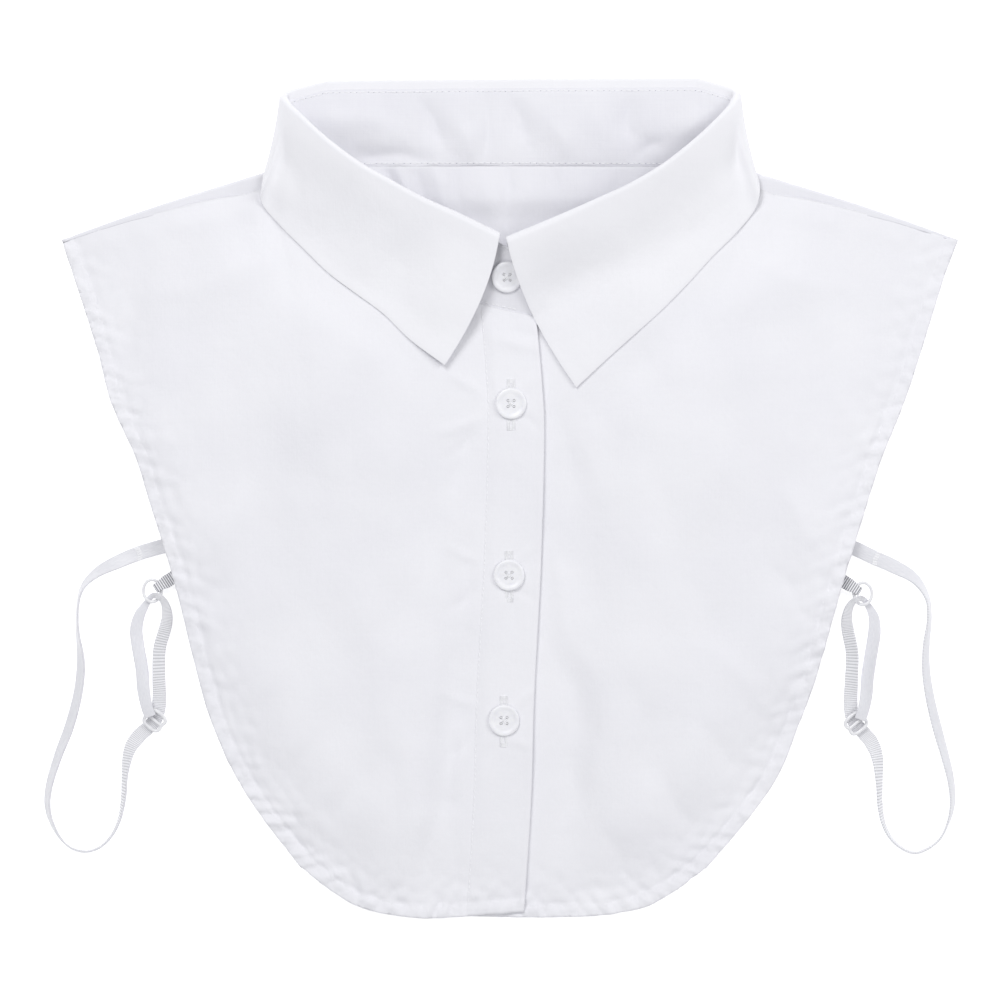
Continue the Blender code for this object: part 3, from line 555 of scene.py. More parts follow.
# Straps, 6 mm elastic, in the order of travel: from between the panels, round the long loop,
# under the slider, up to the ring, through it, and back over the slider. The last column turns
# the strap about its own line: 0 and 180 lie flat, 90 stands on edge.
#        x       y    z width twist
strapRight = (
    (-130.6, -16.4, 1.9, 5.9, 0),
    (-138.8, -18.4, 1.9, 5.9, 0),
    (-148.4, -21.2, 1.5, 5.9, 6),
    (-156.4, -24.4, 1.9, 5.9, 20),
    (-165.2, -28.8, 2.8, 5.9, 48),
    (-171.2, -34.8, 3.3, 5.9, 68),
    (-173.2, -42.8, 3.4, 5.9, 76),
    (-173.2, -52.8, 3.4, 5.9, 72),
    (-172, -65.2, 3, 5.9, 52),
    (-173.2, -77.6, 2.8, 5.9, 48),
    (-176.8, -91.2, 2.8, 5.9, 46),
    (-181.2, -102.8, 3, 5.9, 52),
    (-184.8, -115.2, 3.1, 5.9, 58),
    (-185.2, -124, 3.2, 5.9, 62),
    (-182, -132.8, 3.3, 5.9, 70),
    (-176.8, -138.8, 3.4, 5.9, 78),
    (-170.4, -140.8, 3.4, 5.9, 84),
    (-164.4, -139.2, 3.4, 5.9, 90),
    (-159.6, -134.4, 3.4, 5.9, 98),
    (-156.4, -127.6, 3.4, 5.9, 106),
    (-154.8, -118.8, 3.3, 5.9, 114),
    (-154.2, -108.8, 3.2, 5.9, 122),
    (-152.6, -100.4, 2.3, 5.9, 145),
    (-149.4, -95.2, 1.2, 5.9, 168),
    (-146, -92, 0.6, 5.6, 180),
    (-142.8, -88.6, 0.6, 5.6, 180),
    (-141.2, -83.8, 0.6, 5.6, 180),
    (-140.8, -78, 1.2, 5.4, 190),
    (-140.9, -70.4, 2.1, 5.4, 208),
    (-140.6, -60, 2.4, 5.4, 212),
    (-138.4, -52, 2.8, 5.2, 206),
    (-137.4, -46.8, 3, 4.4, 192),
    (-137.9, -42.4, 3.5, 3.4, 182),
    (-139.2, -39.8, 3.9, 2.6, 180),
    (-140.7, -38.7, 3.95, 2.3, 180),
    (-142.5, -38.2, 2.7, 2.2, 180),
    (-144.2, -38.9, 1.15, 2.2, 180),
    (-145.3, -40.4, 0.6, 2.4, 180),
    (-146.8, -42.8, 0.6, 3.2, 178),
    (-148.8, -46.4, 1.1, 4.4, 168),
    (-150, -52, 1.8, 5.2, 156),
    (-149.2, -59, 2.2, 5.4, 150),
    (-147.6, -68, 2.5, 5.4, 150),
    (-146.9, -76, 3.3, 5, 160),
    (-145.6, -82.4, 3.8, 4.6, 176),
    (-144, -86.8, 3.8, 4.6, 180),
)
strapLeft = (
    (129.6, -17.6, 1.9, 5.9, 0),
    (137.6, -19.2, 1.9, 5.9, 0),
    (146.4, -23.2, 1.5, 5.9, -6),
    (154.4, -26.8, 1.9, 5.9, -20),
    (162.4, -31.6, 2.8, 5.9, -46),
    (167.2, -39.2, 3.3, 5.9, -66),
    (168, -48, 3.3, 5.9, -66),
    (166.8, -58, 3.2, 5.9, -58),
    (166.8, -68.8, 3, 5.9, -52),
    (168.4, -79.6, 2.9, 5.9, -48),
    (171.2, -91.2, 2.8, 5.9, -46),
    (174.4, -102.8, 3, 5.9, -52),
    (176.8, -113.2, 3.1, 5.9, -58),
    (177.2, -122.4, 3.3, 5.9, -64),
    (174.8, -131.2, 3.4, 5.9, -74),
    (170.4, -137.6, 3.4, 5.9, -80),
    (162.4, -141.2, 3.4, 5.9, -88),
    (155.2, -138, 3.4, 5.9, -98),
    (150.4, -131.6, 3.4, 5.9, -106),
    (148.4, -123.2, 3.3, 5.9, -114),
    (148, -113.2, 3.2, 5.9, -122),
    (147.4, -103.6, 2.3, 5.9, -145),
    (145.2, -97.4, 1.2, 5.9, -168),
    (142.2, -93.6, 0.6, 5.6, -180),
    (139, -90, 0.6, 5.6, -180),
    (137.2, -85.4, 0.6, 5.6, -180),
    (136.8, -79.4, 1.2, 5.4, -190),
    (137, -71.6, 2.1, 5.4, -208),
    (137.2, -61.6, 2.4, 5.4, -212),
    (135.6, -53.2, 2.8, 5.2, -206),
    (135, -48.2, 3, 4.4, -192),
    (135.7, -43.8, 3.5, 3.4, -182),
    (137.2, -41, 3.9, 2.6, -180),
    (138.8, -39.9, 3.95, 2.3, -180),
    (140.6, -39.4, 2.7, 2.2, -180),
    (142.3, -40.1, 1.15, 2.2, -180),
    (143.4, -41.6, 0.6, 2.4, -180),
    (144.9, -44, 0.6, 3.2, -178),
    (146.2, -47.6, 1.1, 4.4, -168),
    (146.2, -53.6, 1.8, 5.2, -156),
    (144.8, -62, 2.2, 5.4, -150),
    (143.4, -71, 2.5, 5.4, -150),
    (142.8, -78, 3.3, 5, -160),
    (141.6, -84, 3.8, 4.6, -176),
    (140.2, -88, 3.8, 4.6, -180),
)
ringRight = (-143.5, -36.4, 2.2)
ringLeft = (141.6, -37.6, 2.2)
strapFacts = {
    "wall": 0.8,
    "steps": 9,
    "across": 6,
    "rim": 0.22,
    "length": 0.332,
    "width": 0.006,
    "ringRow": 35,
    "tackRow": 19,
}


def strapGrid(rows, facts):
    line = smoothRows(rows, facts["steps"])
    tangents = np.gradient(line[:, :3], axis=0)
    flat = np.array([0.0, 1.0, 0.0])
    grid = []
    middles = []
    for point, tangent in zip(line, tangents):
        along = unit(tangent)
        level = np.array([-along[1], along[0], 0.0])
        if np.linalg.norm(level) > 0.3:
            level = unit(level)
            flat = level if level @ flat > 0 else -level
        normal = unit(np.cross(along, flat))
        turn = math.radians(point[4])
        across = flat * math.cos(turn) + normal * math.sin(turn)
        halfHeight = abs(across[2]) * point[3] / 2 + math.hypot(across[0], across[1]) * facts["wall"] / 2
        middle = np.array([point[0], point[1], max(point[2], halfHeight + 0.05)])
        cup = np.cross(along, across) * 0.12
        grid.append([
            middle + across * point[3] * (t - 0.5) + cup * (1 - (2 * t - 1) ** 2)
            for t in even(facts["across"])
        ])
        middles.append(middle)
    return np.array(grid), np.array(middles)


def makeStrap(name, rows, side, facts):
    grid, middles = strapGrid(rows, facts)
    long = float(reachAlong(middles)[-1])
    smooth = elasticMaterial(name + "Smooth", False, long, facts["width"] / mm)
    ribbed = elasticMaterial(name + "Ribbed", True, long, facts["width"] / mm)
    faces = [smooth, ribbed, smooth] if side < 0 else [ribbed, smooth, ribbed]
    piece = makePiece(name, gridWork(grid), faces)
    # the strap comes back from the ring with its other face up
    ringShare = facts["ringRow"] / (len(rows) - 1)
    lay = piece.data.uv_layers[0].data
    for polygon in piece.data.polygons:
        if lay[polygon.loop_start].uv.y > ringShare:
            polygon.material_index = 1
    addWall(piece, facts["wall"], facts["rim"], 50).material_offset = 1
    return piece, grid, middles, long


def barTack(name, grid, row):
    # a short band of close stitches across the strap, bowed a little
    work = bmesh.new()
    across = unit(grid[row][-1] - grid[row][0])
    along = unit(grid[row + 1][3] - grid[row - 1][3])
    up = np.cross(along, across)
    up = up if up[2] > 0 else -up
    bars = []
    for step in range(5):
        for part in even(6)[:-1] + 1 / 12:
            bow = 0.7 * math.sin(math.pi * part)
            middle = grid[row][3] + up * 0.42 + along * ((step - 2) * 0.4 - bow)
            middle = middle + across * (part - 0.5) * 5.8
            bars.append((middle, across + along * 0.5 * (part - 0.5), (1.25, 0.5, 0.5)))
    addBars(work, bars)
    return makePiece(name, work, [thread])


# Ring that ties each strap to its side, an oval of round wire
ringFacts = {"halfWidth": 3.6, "halfHeight": 4.45, "wire": 0.66}


def makeRing(name, centre, facts):
    turns = np.linspace(0.0, 2.0 * math.pi, 73)[:-1]
    x = centre[0] + facts["halfWidth"] * np.cos(turns)
    y = centre[1] + facts["halfHeight"] * np.sin(turns)
    line = np.stack([x, y, np.full_like(x, centre[2])], 1)
    work = gridWork(tubeSurface(line, facts["wire"], 16, True))
    bmesh.ops.recalc_face_normals(work, faces=work.faces)
    return makePiece(name, work, [gloss])


# Slider: a frame of round bars with a bar across its middle. First its place and its turn.
sliderFacts = {
    "right": (-142.6, -88.4, 2.15, -40.0),
    "left": (138.8, -89.6, 2.15, 40.0),
    "halfWidth": 4.0,
    "halfLength": 3.5,
    "bar": 0.72,
    "waist": 0.35,
}


def makeSlider(name, spot, facts):
    turn = math.radians(spot[3])
    middle = np.array(spot[:3])

    def placed(x, y):
        across = x * math.cos(turn) - y * math.sin(turn)
        along = x * math.sin(turn) + y * math.cos(turn)
        return middle + np.array([across, along, 0.0])

    line = []
    for t in np.linspace(0.0, 2.0 * math.pi, 97)[:-1]:
        c, s = math.cos(t), math.sin(t)
        power = 0.62
        x = math.copysign(abs(c) ** power, c) * facts["halfWidth"]
        y = math.copysign(abs(s) ** power, s) * facts["halfLength"]
        x *= 1.0 - facts["waist"] * math.exp(-((y / 1.1) ** 2)) * 0.4
        line.append(placed(x, y))
    work = gridWork(tubeSurface(line, facts["bar"], 12, True))
    inner = facts["halfWidth"] * (1.0 - facts["waist"] * 0.4)
    bar = [placed(x, 0.0) for x in np.linspace(-inner, inner, 13)]
    cross = gridWork(tubeSurface(bar, facts["bar"] * 0.95, 12), ends=True)
    joinInto(work, cross)
    bmesh.ops.recalc_face_normals(work, faces=work.faces)
    return makePiece(name, work, [gloss])


# Tab that holds the ring to the panel's side
tabFacts = {"width": 5.2, "waist": 3.6, "wall": 0.7, "rim": 0.2, "direction": (0.84, 0.54)}
#   reach    z
tabRoute = (
    (16.5, 1.85),
    (11, 1.9),
    (8, 2.7),
    (5.6, 3.5),
    (3.8, 3.65),
    (2.2, 3.4),
    (1.6, 2.2),
    (2.2, 1),
    (3.8, 0.7),
    (6.5, 0.65),
)


def makeTab(name, side, centre, facts):
    run = np.array([-side * facts["direction"][0], facts["direction"][1], 0.0])
    sideways = np.array([-run[1], run[0], 0.0])
    grid = []
    for reach, height in smoothLine([(reach, z, 0.0) for reach, z in tabRoute], even(60))[:, :2]:
        point = np.array([centre[0], centre[1], height]) + run * reach
        width = facts["waist"] + (facts["width"] - facts["waist"]) * smoothStep(reach, 3.0, 7.0)
        grid.append([point + sideways * width * (t - 0.5) for t in even(6)])
    grid = np.array(grid)
    long = float(reachAlong(grid[:, 3])[-1])
    # the tab's rib grooves are tinted near black: painted shade
    ribbed = elasticMaterial(name + "Ribbed", True, long, facts["width"], 0.22)
    piece = makePiece(name, gridWork(grid), [ribbed])
    addWall(piece, facts["wall"], facts["rim"], 50)
    return piece


for way, side, rows, ringSpot in (
    ("right", -1, strapRight, ringRight),
    ("left", 1, strapLeft, ringLeft),
):
    end = way.capitalize()
    strap, strapFaces, strapMiddle, strapLong = makeStrap("strap" + end, rows, side, strapFacts)
    print("strap", way, "is", round(strapLong, 1), "mm long")
    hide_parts("strap_" + way)
    tack = barTack("barTack" + end, strapFaces, strapFacts["tackRow"])
    ring = makeRing("ring" + end, ringSpot, ringFacts)
    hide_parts("ring_" + way)
    slider = makeSlider("slider" + end, sliderFacts[way], sliderFacts)
    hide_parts("slider_" + way)
    tab = makeTab("tab" + end, side, ringSpot, tabFacts)
    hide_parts("tab_" + way)
print("straps, rings, sliders and tabs made")


# The panels' cut. Shoulder: the back panel turns over a fold that runs from neck to tip.
foldNeck = (95.6, 132.3)
foldTip = (180.0, 104.8)
foldBow = 1.0
foldRadiusNeck = 1.5
foldRadiusTip = 0.65
foldStart = np.array(foldNeck)
foldLength = np.linalg.norm(np.array(foldTip) - foldStart)
foldAlong = (np.array(foldTip) - foldStart) / foldLength
foldOutward = np.array([-foldAlong[1], foldAlong[0]])
# share of the shoulder from neck to tip, and the way from the fold to the forward seam
shoulderStrip = (
    (0, 7.6),
    (0.15, 7.4),
    (0.3, 5.6),
    (0.5, 4.2),
    (0.7, 2.6),
    (0.85, 2),
    (1, 1.5),
)
firstShoulderShare = 0.015  # where the shoulder's cloth ends beside the band
backNeckline = (
    (93.6, 131.3),
    (90.4, 132.6),
    (76.8, 133.3),
    (44.8, 133.6),
    (0, 133.8),
)
backLevelLine = (
    (93, 123.4),
    (82, 119.8),
    (44, 118.6),
    (0, 118.6),
)
# side edge and hem: height, half width right, half width left
panelOutline = (
    (89.6, 175.2, 174.4),
    (59.6, 165.6, 165),
    (39.2, 160, 158.2),
    (17.6, 150, 149.2),
    (0, 144.4, 143.2),
    (-34.4, 133.6, 132.4),
    (-70, 124.8, 122.6),
    (-89.2, 119.2, 116),
    (-110.8, 109.6, 107.2),
    (-128.8, 98, 94.5),
    (-146.8, 84, 79),
    (-157.2, 70.6, 65),
    (-163.6, 58, 52.5),
    (-166.6, 42, 34),
    (-167.2, 26, 12),
)
cornerRow = 10  # the row where side edge ends and hem begins
backHemMiddle = (0.0, -166.4)
overEdge = (
    (10.8, 71.6),
    (12.8, 45.6),
    (13.6, 25),
    (12.4, -24),
    (10.8, -56),
    (9.4, -84),
    (8.4, -120),
    (5.6, -164.8),
)
underEdge = (
    (-10.8, 71.6),
    (-11.5, 0),
    (-13, -100),
    (-16, -166.8),
)

panelFacts = {
    "wall": 0.5,
    "seamReach": -0.9,  # the front goes this far under the shoulder strip
    "bandReach": -0.5,
    "backLevel": 0.5,
    "overLeaf": 1.55,
    "backWall": 1.0,  # wall of the solid, which sets the shoulder's roll
    "underLevel": 1.8,
    "overLevel": 4.1,
    "closeBelow": 0.86,
    "sideLevel": 3.4,
    "hemInset": 1.5,
    "seamDrop": 0.14,  # the forward seam lies this much below the shoulder's top
    "drift": 1.7,  # slow unevenness of the fronts
    "tucks": 0.28,  # where the neckline is eased into the band
    "lapDrop": 0.45,
    "neckPucker": 1.1,  # how far the back stands up inside the neck
    "neckWaves": 0.5,
    "neckColumns": 64,
    "shoulderColumns": 54,
    "rows": 196,
    "backNeckColumns": 84,
    "backShoulderColumns": 40,
    "backTurnRows": 16,
    "backRows": 132,
}

# Air under the fronts and their largest folds: a line, its reach to each side and its height
domeHeight = 3.2
largeFolds = (
    (-20, -56, -26, -118, 8, -2.2),
    (-42, -66, -46, -142, 11, 2.03),
    (-58, -84, -62, -146, 10, -1.35),
    (26, -62, 25, -132, 10, -1.3),
    (44, -66, 42, -128, 11, 1.6),
    (62, -92, 54, -150, 10, -1.49),
    (-86, -92, -56, -134, 12, 0.9),
    (88, -88, 58, -132, 12, 0.9),
    (-118, 60, -96, -40, 16, -1.49),
    (116, 62, 98, -40, 16, -1.49),
    (-70, 70, -84, 10, 14, 1.22),
    (74, 62, 80, 0, 14, 1.22),
    (36, 38, 92, 98, 9, -1.89),
    (-36, 52, -84, 90, 8, -1.08),
)

# Smaller creases, given in the same way, with the sideways bow of the line at the end
#     x1     y1     x2      y2  width height  bow
creases = (
    (-31, -62, -34, -124, 7, 1.3, 1.2),
    (-28, -122, -34, -156, 5.2, -1.2, -1.6),
    (-23, -130, -22, -163, 3, -0.7, 0.8),
    (-40, -100, -42, -150, 6, 0.8, 2.4),
    (-20, -92, -22, -118, 2.6, 1.08, 1),
    (-46, -106, -49, -158, 5.7, -1.08, 1.6),
    (-12, 33, -27, 27, 2.2, 0.72, 0.6),
    (-12.5, 28, -25, 17, 1.9, -0.6, 0.8),
    (-13, 43, -24, 50, 2, 0.6, -0.5),
    (-16, 36, -22, 6, 3, -0.96, 1.4),
    (-19, 4, -25, -26, 3.2, 0.84, -1.2),
    (-16, -16, -20, -50, 2.6, -0.84, 1),
    (-14, -24, -24, -19, 1.8, 0.54, 0.4),
    (-14, -36, -25, -44, 2.2, -0.6, 0.7),
    (-15, -82, -27, -77, 2, 0.54, 0.5),
    (-15, -94, -24, -103, 2.2, -0.54, 0.4),
    (-30, 10, -38, -40, 7, -0.72, 2),
    (-38, 36, -50, -4, 8, 0.72, -2),
    (14, -56, 28, -88, 6, -0.65, 2.4),
    (28, -88, 25, -118, 6.3, -0.65, -1.8),
    (25, -118, 14, -142, 6, -0.66, -1.2),
    (22, -52, 38, -86, 5.8, 0.5, 2.6),
    (38, -86, 34, -124, 5.8, 0.66, -2),
    (50, -76, 53, -118, 6, -1.08, 2),
    (17, -20, 22, -56, 3.6, 0.72, 1.2),
    (17, 40, 26, 6, 6, -0.96, 1),
    (24, 30, 40, -4, 7, 0.72, 1.4),
    (36, -130, 50, -158, 5.7, -1.08, 1.6),
    (58, -108, 74, -140, 5.4, -1.2, 2.2),
    (76, -90, 92, -112, 5, -1.08, 1.4),
    (84, -62, 104, -84, 5.4, 0.96, 1),
    (68, -30, 88, -66, 8, -0.72, 2),
    (-60, -110, -74, -142, 5.4, -1.32, -2),
    (-78, -96, -92, -120, 5, -1.2, -1.4),
    (-88, -120, -72, -134, 5.2, 0.96, 1.4),
    (-92, -66, -108, -90, 5.2, 0.96, -1.2),
    (-46, -40, -62, -84, 8, -0.72, -2.4),
    (-110, -30, -128, -52, 5, -0.96, -1.6),
    (104, -26, 122, -50, 5, -0.96, 1.6),
    (-106, 4, -120, -22, 5, 0.84, 1),
    (108, 8, 124, -20, 5, 0.84, -1),
    (-132, 40, -148, 12, 5, 0.72, -1),
    (128, 44, 146, 14, 5, 0.72, 1),
    (-150, 78, -158, 50, 4, -0.72, 1),
    (148, 80, 156, 52, 4, -0.72, -1),
    (-98, 96, -140, 82, 6, 0.72, 2),
    (98, 94, 138, 84, 6, 0.72, -2),
    (-60, 40, -72, -8, 8, -0.84, 3),
    (56, 34, 66, -18, 8, -0.84, -3),
)
# Puckers of the back below the band's seam, seen inside the neck
backCreases = (
    (-57, 133, -50, 120, 2.6, 1, 0.6),
    (-50.5, 133, -44, 117, 2, -1.3, 0.6),
    (-45, 133, -38, 110, 2.2, 1.3, 0.8),
    (-38, 132, -33, 112, 2.4, -1.2, 0.5),
    (-31, 133, -24, 106, 3, 1.2, 0.9),
    (-22, 131, -20, 118, 1.8, -0.6, -0.6),
    (-12, 133, -8, 104, 4.6, 1, 1.4),
    (-1, 133, -2, 112, 2.2, -1.1, 0.8),
    (9, 130, 4, 106, 5, 0.8, -1.2),
    (17, 133, 18, 124, 1.8, -0.6, 0.4),
    (29, 132, 26, 112, 4.4, 0.7, 1),
    (43, 133, 42, 122, 2, -0.7, 0.5),
    (52, 133, 50, 120, 3, 0.6, 0.5),
)

# Hems, and the gathers where each is sewn
hemFacts = {
    "turn": 5.4,
    "depth": 0.62,
    "backDepth": 0.2,
    "groove": 0.5,
    "seeds": {"hemBack": 0.7, "hemRight": 1.9, "hemLeft": 3.3},  # another seed, other gathers
    "lean": -0.75,
    "fade": 5.5,
    "rise": 0.5,
    "half": 0.42,
    "backHalf": 0.44,
    "step": 0.62,
}


def foldRadius(share):
    return foldRadiusNeck + (foldRadiusTip - foldRadiusNeck) * np.clip(share, 0.0, 1.0)


def foldOutline(share):
    return foldStart + foldAlong * foldLength * share + foldOutward * foldBow * math.sin(math.pi * share)


def stripWidth(share):
    shares, widths = zip(*shoulderStrip)
    return float(np.interp(share, shares, widths))


def forwardSeam(share):
    return foldOutline(share) - foldOutward * stripWidth(share)


def backLift(x, y):
    lift = smoothStep(y, 112.0, 121.5) * (1.0 - smoothStep(abs(x), 102.5, 113.0))
    return panelFacts["overLeaf"] * lift


def shoulderLevel(share):
    x, y = foldOutline(share)
    return panelFacts["backLevel"] + backLift(x, y) + 2.0 * foldRadius(share)


def turnOver(x, y):
    # carries a point of the flat back pattern over the shoulder fold
    here = np.array([abs(x), y]) - foldStart
    share = float(here @ foldAlong) / foldLength
    radius = float(foldRadius(share))
    bow = foldBow * math.sin(math.pi * min(max(share, 0.0), 1.0))
    past = float(here @ foldOutward) - bow + radius + panelFacts["backWall"] / 2
    height = panelFacts["backLevel"] + float(backLift(abs(x), y))
    if past <= 0.0:
        return x, y, height
    arc = math.pi * radius
    if past < arc:
        angle = past / radius
        move = radius * math.sin(angle) - past
        rise = radius * (1.0 - math.cos(angle))
    else:
        move = -(past - arc) - past
        rise = 2.0 * radius
    point = np.array([abs(x), y]) + foldOutward * move
    foot = panelFacts["backLevel"] + float(backLift(point[0], min(point[1], y)))
    return math.copysign(point[0], x), point[1], max(height, foot) + rise


def patternReach(share):
    radius = float(foldRadius(share))
    return stripWidth(share) - radius - panelFacts["backWall"] / 2 + math.pi * radius


def foldAxisPoint(share):
    radius = float(foldRadius(share))
    return foldOutline(share) - foldOutward * (radius + panelFacts["backWall"] / 2)


def mirrored(points, side):
    flipped = np.array(points, dtype=float)
    flipped[:, 0] *= side
    return flipped


def outlineRows(side):
    column = 1 if side < 0 else 2
    return [(side * row[column], row[0]) for row in panelOutline]


def largeRelief(x, y, toEdge):
    middle = smoothStep(170.0 - np.abs(x) - 0.16 * np.abs(y + 20.0), 0.0, 60.0)
    belowNeck = 1.0 - smoothStep(y - 0.5 * np.abs(x), 30.0, 80.0)
    # towards the bottom the panel comes down to its hem
    atHem = smoothStep(-y, 40.0, 100.0) * (1.0 - smoothStep(toEdge, 2.0, 40.0))
    dome = domeHeight * middle * belowNeck * (1.0 - atHem)
    height = dome * (0.55 + 1.3 * smoothStep(np.abs(x), 20.0, 60.0))
    return foldsOn(x, y, [(*row, 0.0, 2.0) for row in largeFolds], height)


def driftRelief(x, y, seed, depth):
    # the slow unevenness of cloth that has been laid down by hand
    values = []
    for px, py in zip(x.ravel(), y.ravel()):
        broad = noise.noise(Vector((px * 0.021 + seed, py * 0.015, seed)))
        values.append(broad + 0.45 * noise.noise(Vector((px * 0.06, py * 0.042 + seed, 3.1))))
    return depth * np.array(values).reshape(x.shape)


def gatherWave(s, t, seed, fine=False):
    # height of the hem's gathers at a place along the edge and a way in from it
    lean = s + hemFacts["lean"] * t
    swell = 0.62 + 0.38 * np.sin(0.047 * s + seed) * np.sin(0.019 * s + 2.0 * seed)
    if fine:
        wave = 0.7 * np.sin(1.9 * lean + seed) + 0.5 * np.sin(2.7 * lean + 1.7 * seed + np.sin(0.2 * s))
        return swell * wave
    wave = 0.55 * np.sin(0.83 * lean + seed)
    wave = wave + 0.38 * np.sin(1.13 * lean + 2.4 * seed + 1.3 * np.sin(0.09 * s))
    return swell * (wave + 0.3 * np.sin(0.41 * lean + 3.0 * seed))


def edgeFields(surface, edge):
    # for each point of a surface, the place along the edge nearest to it and the way to it
    reach = reachAlong(edge)
    tree = KDTree(len(edge))
    for index, point in enumerate(edge):
        tree.insert((point[0], point[1], 0.0), index)
    tree.balance()
    along = np.zeros(surface.shape[:2])
    away = np.zeros(surface.shape[:2])
    for row, column in np.ndindex(along.shape):
        x, y = surface[row, column, :2]
        index, away[row, column] = tree.find((x, y, 0.0))[1:]
        along[row, column] = reach[index]
    return along, away


def denseEdge(edge, step):
    reach = reachAlong(edge)
    return atReach(edge, reach, np.linspace(0.0, reach[-1], int(reach[-1] / step) + 1))


def aboveFloor(surface):
    surface[:, :, 2] = np.maximum(surface[:, :, 2], panelFacts["wall"] / 2 + 0.03)


def gathered(surface, edge, seed, depth, rise=0.0):
    along, away = edgeFields(surface, denseEdge(edge, 1.0))
    inside = np.maximum(away - hemFacts["turn"], 0.0)
    # uneven in how far each gather runs into the panel
    reach = hemFacts["fade"] * (1.0 + 0.55 * np.sin(0.31 * along + seed) * np.sin(0.113 * along + 1.0))
    strength = bell(inside, np.maximum(reach, 2.0), 1.5)
    blotch = [noise.noise(Vector((s * 0.2, t * 0.24, seed))) for s, t in zip(along.ravel(), away.ravel())]
    blotch = np.array(blotch).reshape(along.shape) * bell(away, 15.0)
    relief = depth * (gatherWave(along, away, seed) * strength + 1.8 * blotch)
    groove = -hemFacts["groove"] * bell(away - hemFacts["turn"], 1.0)
    # the hem is stiffer than the panel and keeps its edge up along the bottom
    upturn = rise * bell(away, 6.0) * smoothStep(-surface[:, :, 1], 50.0, 110.0)
    moved = surface.copy()
    moved[:, :, 2] += relief + groove + upturn
    aboveFloor(moved)
    return moved


def neckLine(side, gap, steps):
    rows = np.array(collarRight if side < 0 else collarLeft, dtype=float)[: frontStations + 1]
    ends = np.array(bandOverEnd if side < 0 else bandUnderEnd)[:2]
    both = smoothRows(np.vstack([ends, rows[:, 0:6]]), steps)
    return np.array([row[0:3] - unit(row[3:6] - row[0:3]) * gap for row in both])


def splitShares(points, corner, before, after):
    # even places along a line, with one at its corner
    reach = lengthShares(points)
    first = np.linspace(0.0, reach[corner], before + 1)
    return np.concatenate([first, np.linspace(reach[corner], 1.0, after + 1)[1:]])


def frontSurface(side, facts):
    over = side < 0
    level = facts["overLevel"] if over else facts["underLevel"]
    seam = []
    for share in np.linspace(firstShoulderShare, 1.0, 40):
        x, y = forwardSeam(share) - foldOutward * facts["seamReach"]
        seam.append((side * x, y, shoulderLevel(share) - facts["seamDrop"]))
    neck = neckLine(side, facts["bandReach"], 8)
    top = np.vstack([neck, seam])
    shares = splitShares(top, len(neck) - 1, facts["neckColumns"], facts["shoulderColumns"])
    top = atReach(top, lengthShares(top), shares)
    outline = outlineRows(side)
    tipLevel = top[-1][2]
    sideRows = [tuple(top[-1])]
    for x, y in outline[: cornerRow + 1]:
        sideRows.append((x, y, tipLevel + (facts["sideLevel"] - tipLevel) * smoothStep(-y, -75.0, -15.0)))
    sideEdge = smoothLine(sideRows, even(facts["rows"]))
    centreRows = overEdge if over else underEdge
    centreLine = [tuple(top[0])]
    for x, y in centreRows[1:]:
        centreLine.append((x, y, top[0][2] + (level - top[0][2]) * smoothStep(-y, -71.6, 60.0)))
    centre = smoothLine(centreLine, even(facts["rows"]))
    hemRows = [tuple(centre[-1])]
    for x, y in reversed(outline[cornerRow:]):
        hemRows.append((x, y, level + (facts["sideLevel"] - level) * smoothStep(abs(x), 16.0, 60.0)))
    hemRows[-1] = tuple(sideEdge[-1])
    hem = smoothLine(hemRows, shares)
    surface = coonsPatch(top, hem, centre, sideEdge, shares)
    x, y, z = np.moveaxis(surface, 2, 0)
    away = even(facts["rows"])[:, None]
    columns = np.arange(len(shares))[None, :]
    # ease the kink that runs down from the corner of neck and shoulder
    inner = smoothStep(away, 0.03, 0.2) * smoothStep(columns, 8, 24)
    inner = inner * (1.0 - smoothStep(columns, len(shares) - 24, len(shares) - 8))
    for count in (13, 29):
        z += (np.apply_along_axis(runningMean, 1, z, count) - z) * inner
    z += largeRelief(x, y, edgeFields(surface, denseEdge(outerEdge(surface), 2.0))[1])
    # details fade where the cloth is sewn to the band or held under the placket's free edge
    relief = foldsOn(x, y, [row for row in creases if row[0] * side > 0])
    relief = relief + smoothStep(np.abs(x), 12.0, 34.0) * driftRelief(x, y, 4.0 + side, facts["drift"])
    z += smoothStep(away, 0.0, 0.035) * relief
    # small tucks where the neckline is eased into the band
    tucks = facts["tucks"] * np.sin(columns * 0.9 + side) * np.sin(columns * 0.23 + 1.0)
    neckOnly = (columns < facts["neckColumns"]) * smoothStep(columns, 2, 10)
    z += tucks * neckOnly * bell(away - 0.012, 0.03)
    # the seam at the shoulder dips
    strip = smoothStep(columns, facts["neckColumns"] - 2, facts["neckColumns"] + 4)
    ripple = 0.25 * np.sin(columns * 0.55 + side) * np.sin(columns * 0.17 + 2.0)
    z += strip * (0.3 + ripple) * bell(away - 0.024, 0.014)
    # the two fronts lie close where they overlap
    if over:
        z -= facts["lapDrop"] * smoothStep(x, -24.0, -10.0) * (1.0 - smoothStep(y, 54.0, 72.0))
    return surface


def backHalf(facts):
    top = []
    level = []
    for share in np.linspace(1.0, firstShoulderShare, facts["backShoulderColumns"]):
        axis = foldAxisPoint(share)
        level.append(axis)
        top.append(axis + foldOutward * patternReach(share))
    corner = tuple(level[-1])
    shares = even(facts["backNeckColumns"]) ** 1.1
    top += list(smoothLine([corner, *backNeckline], shares))
    level += list(smoothLine([corner, *backLevelLine], shares))
    return np.array(top), np.array(level)


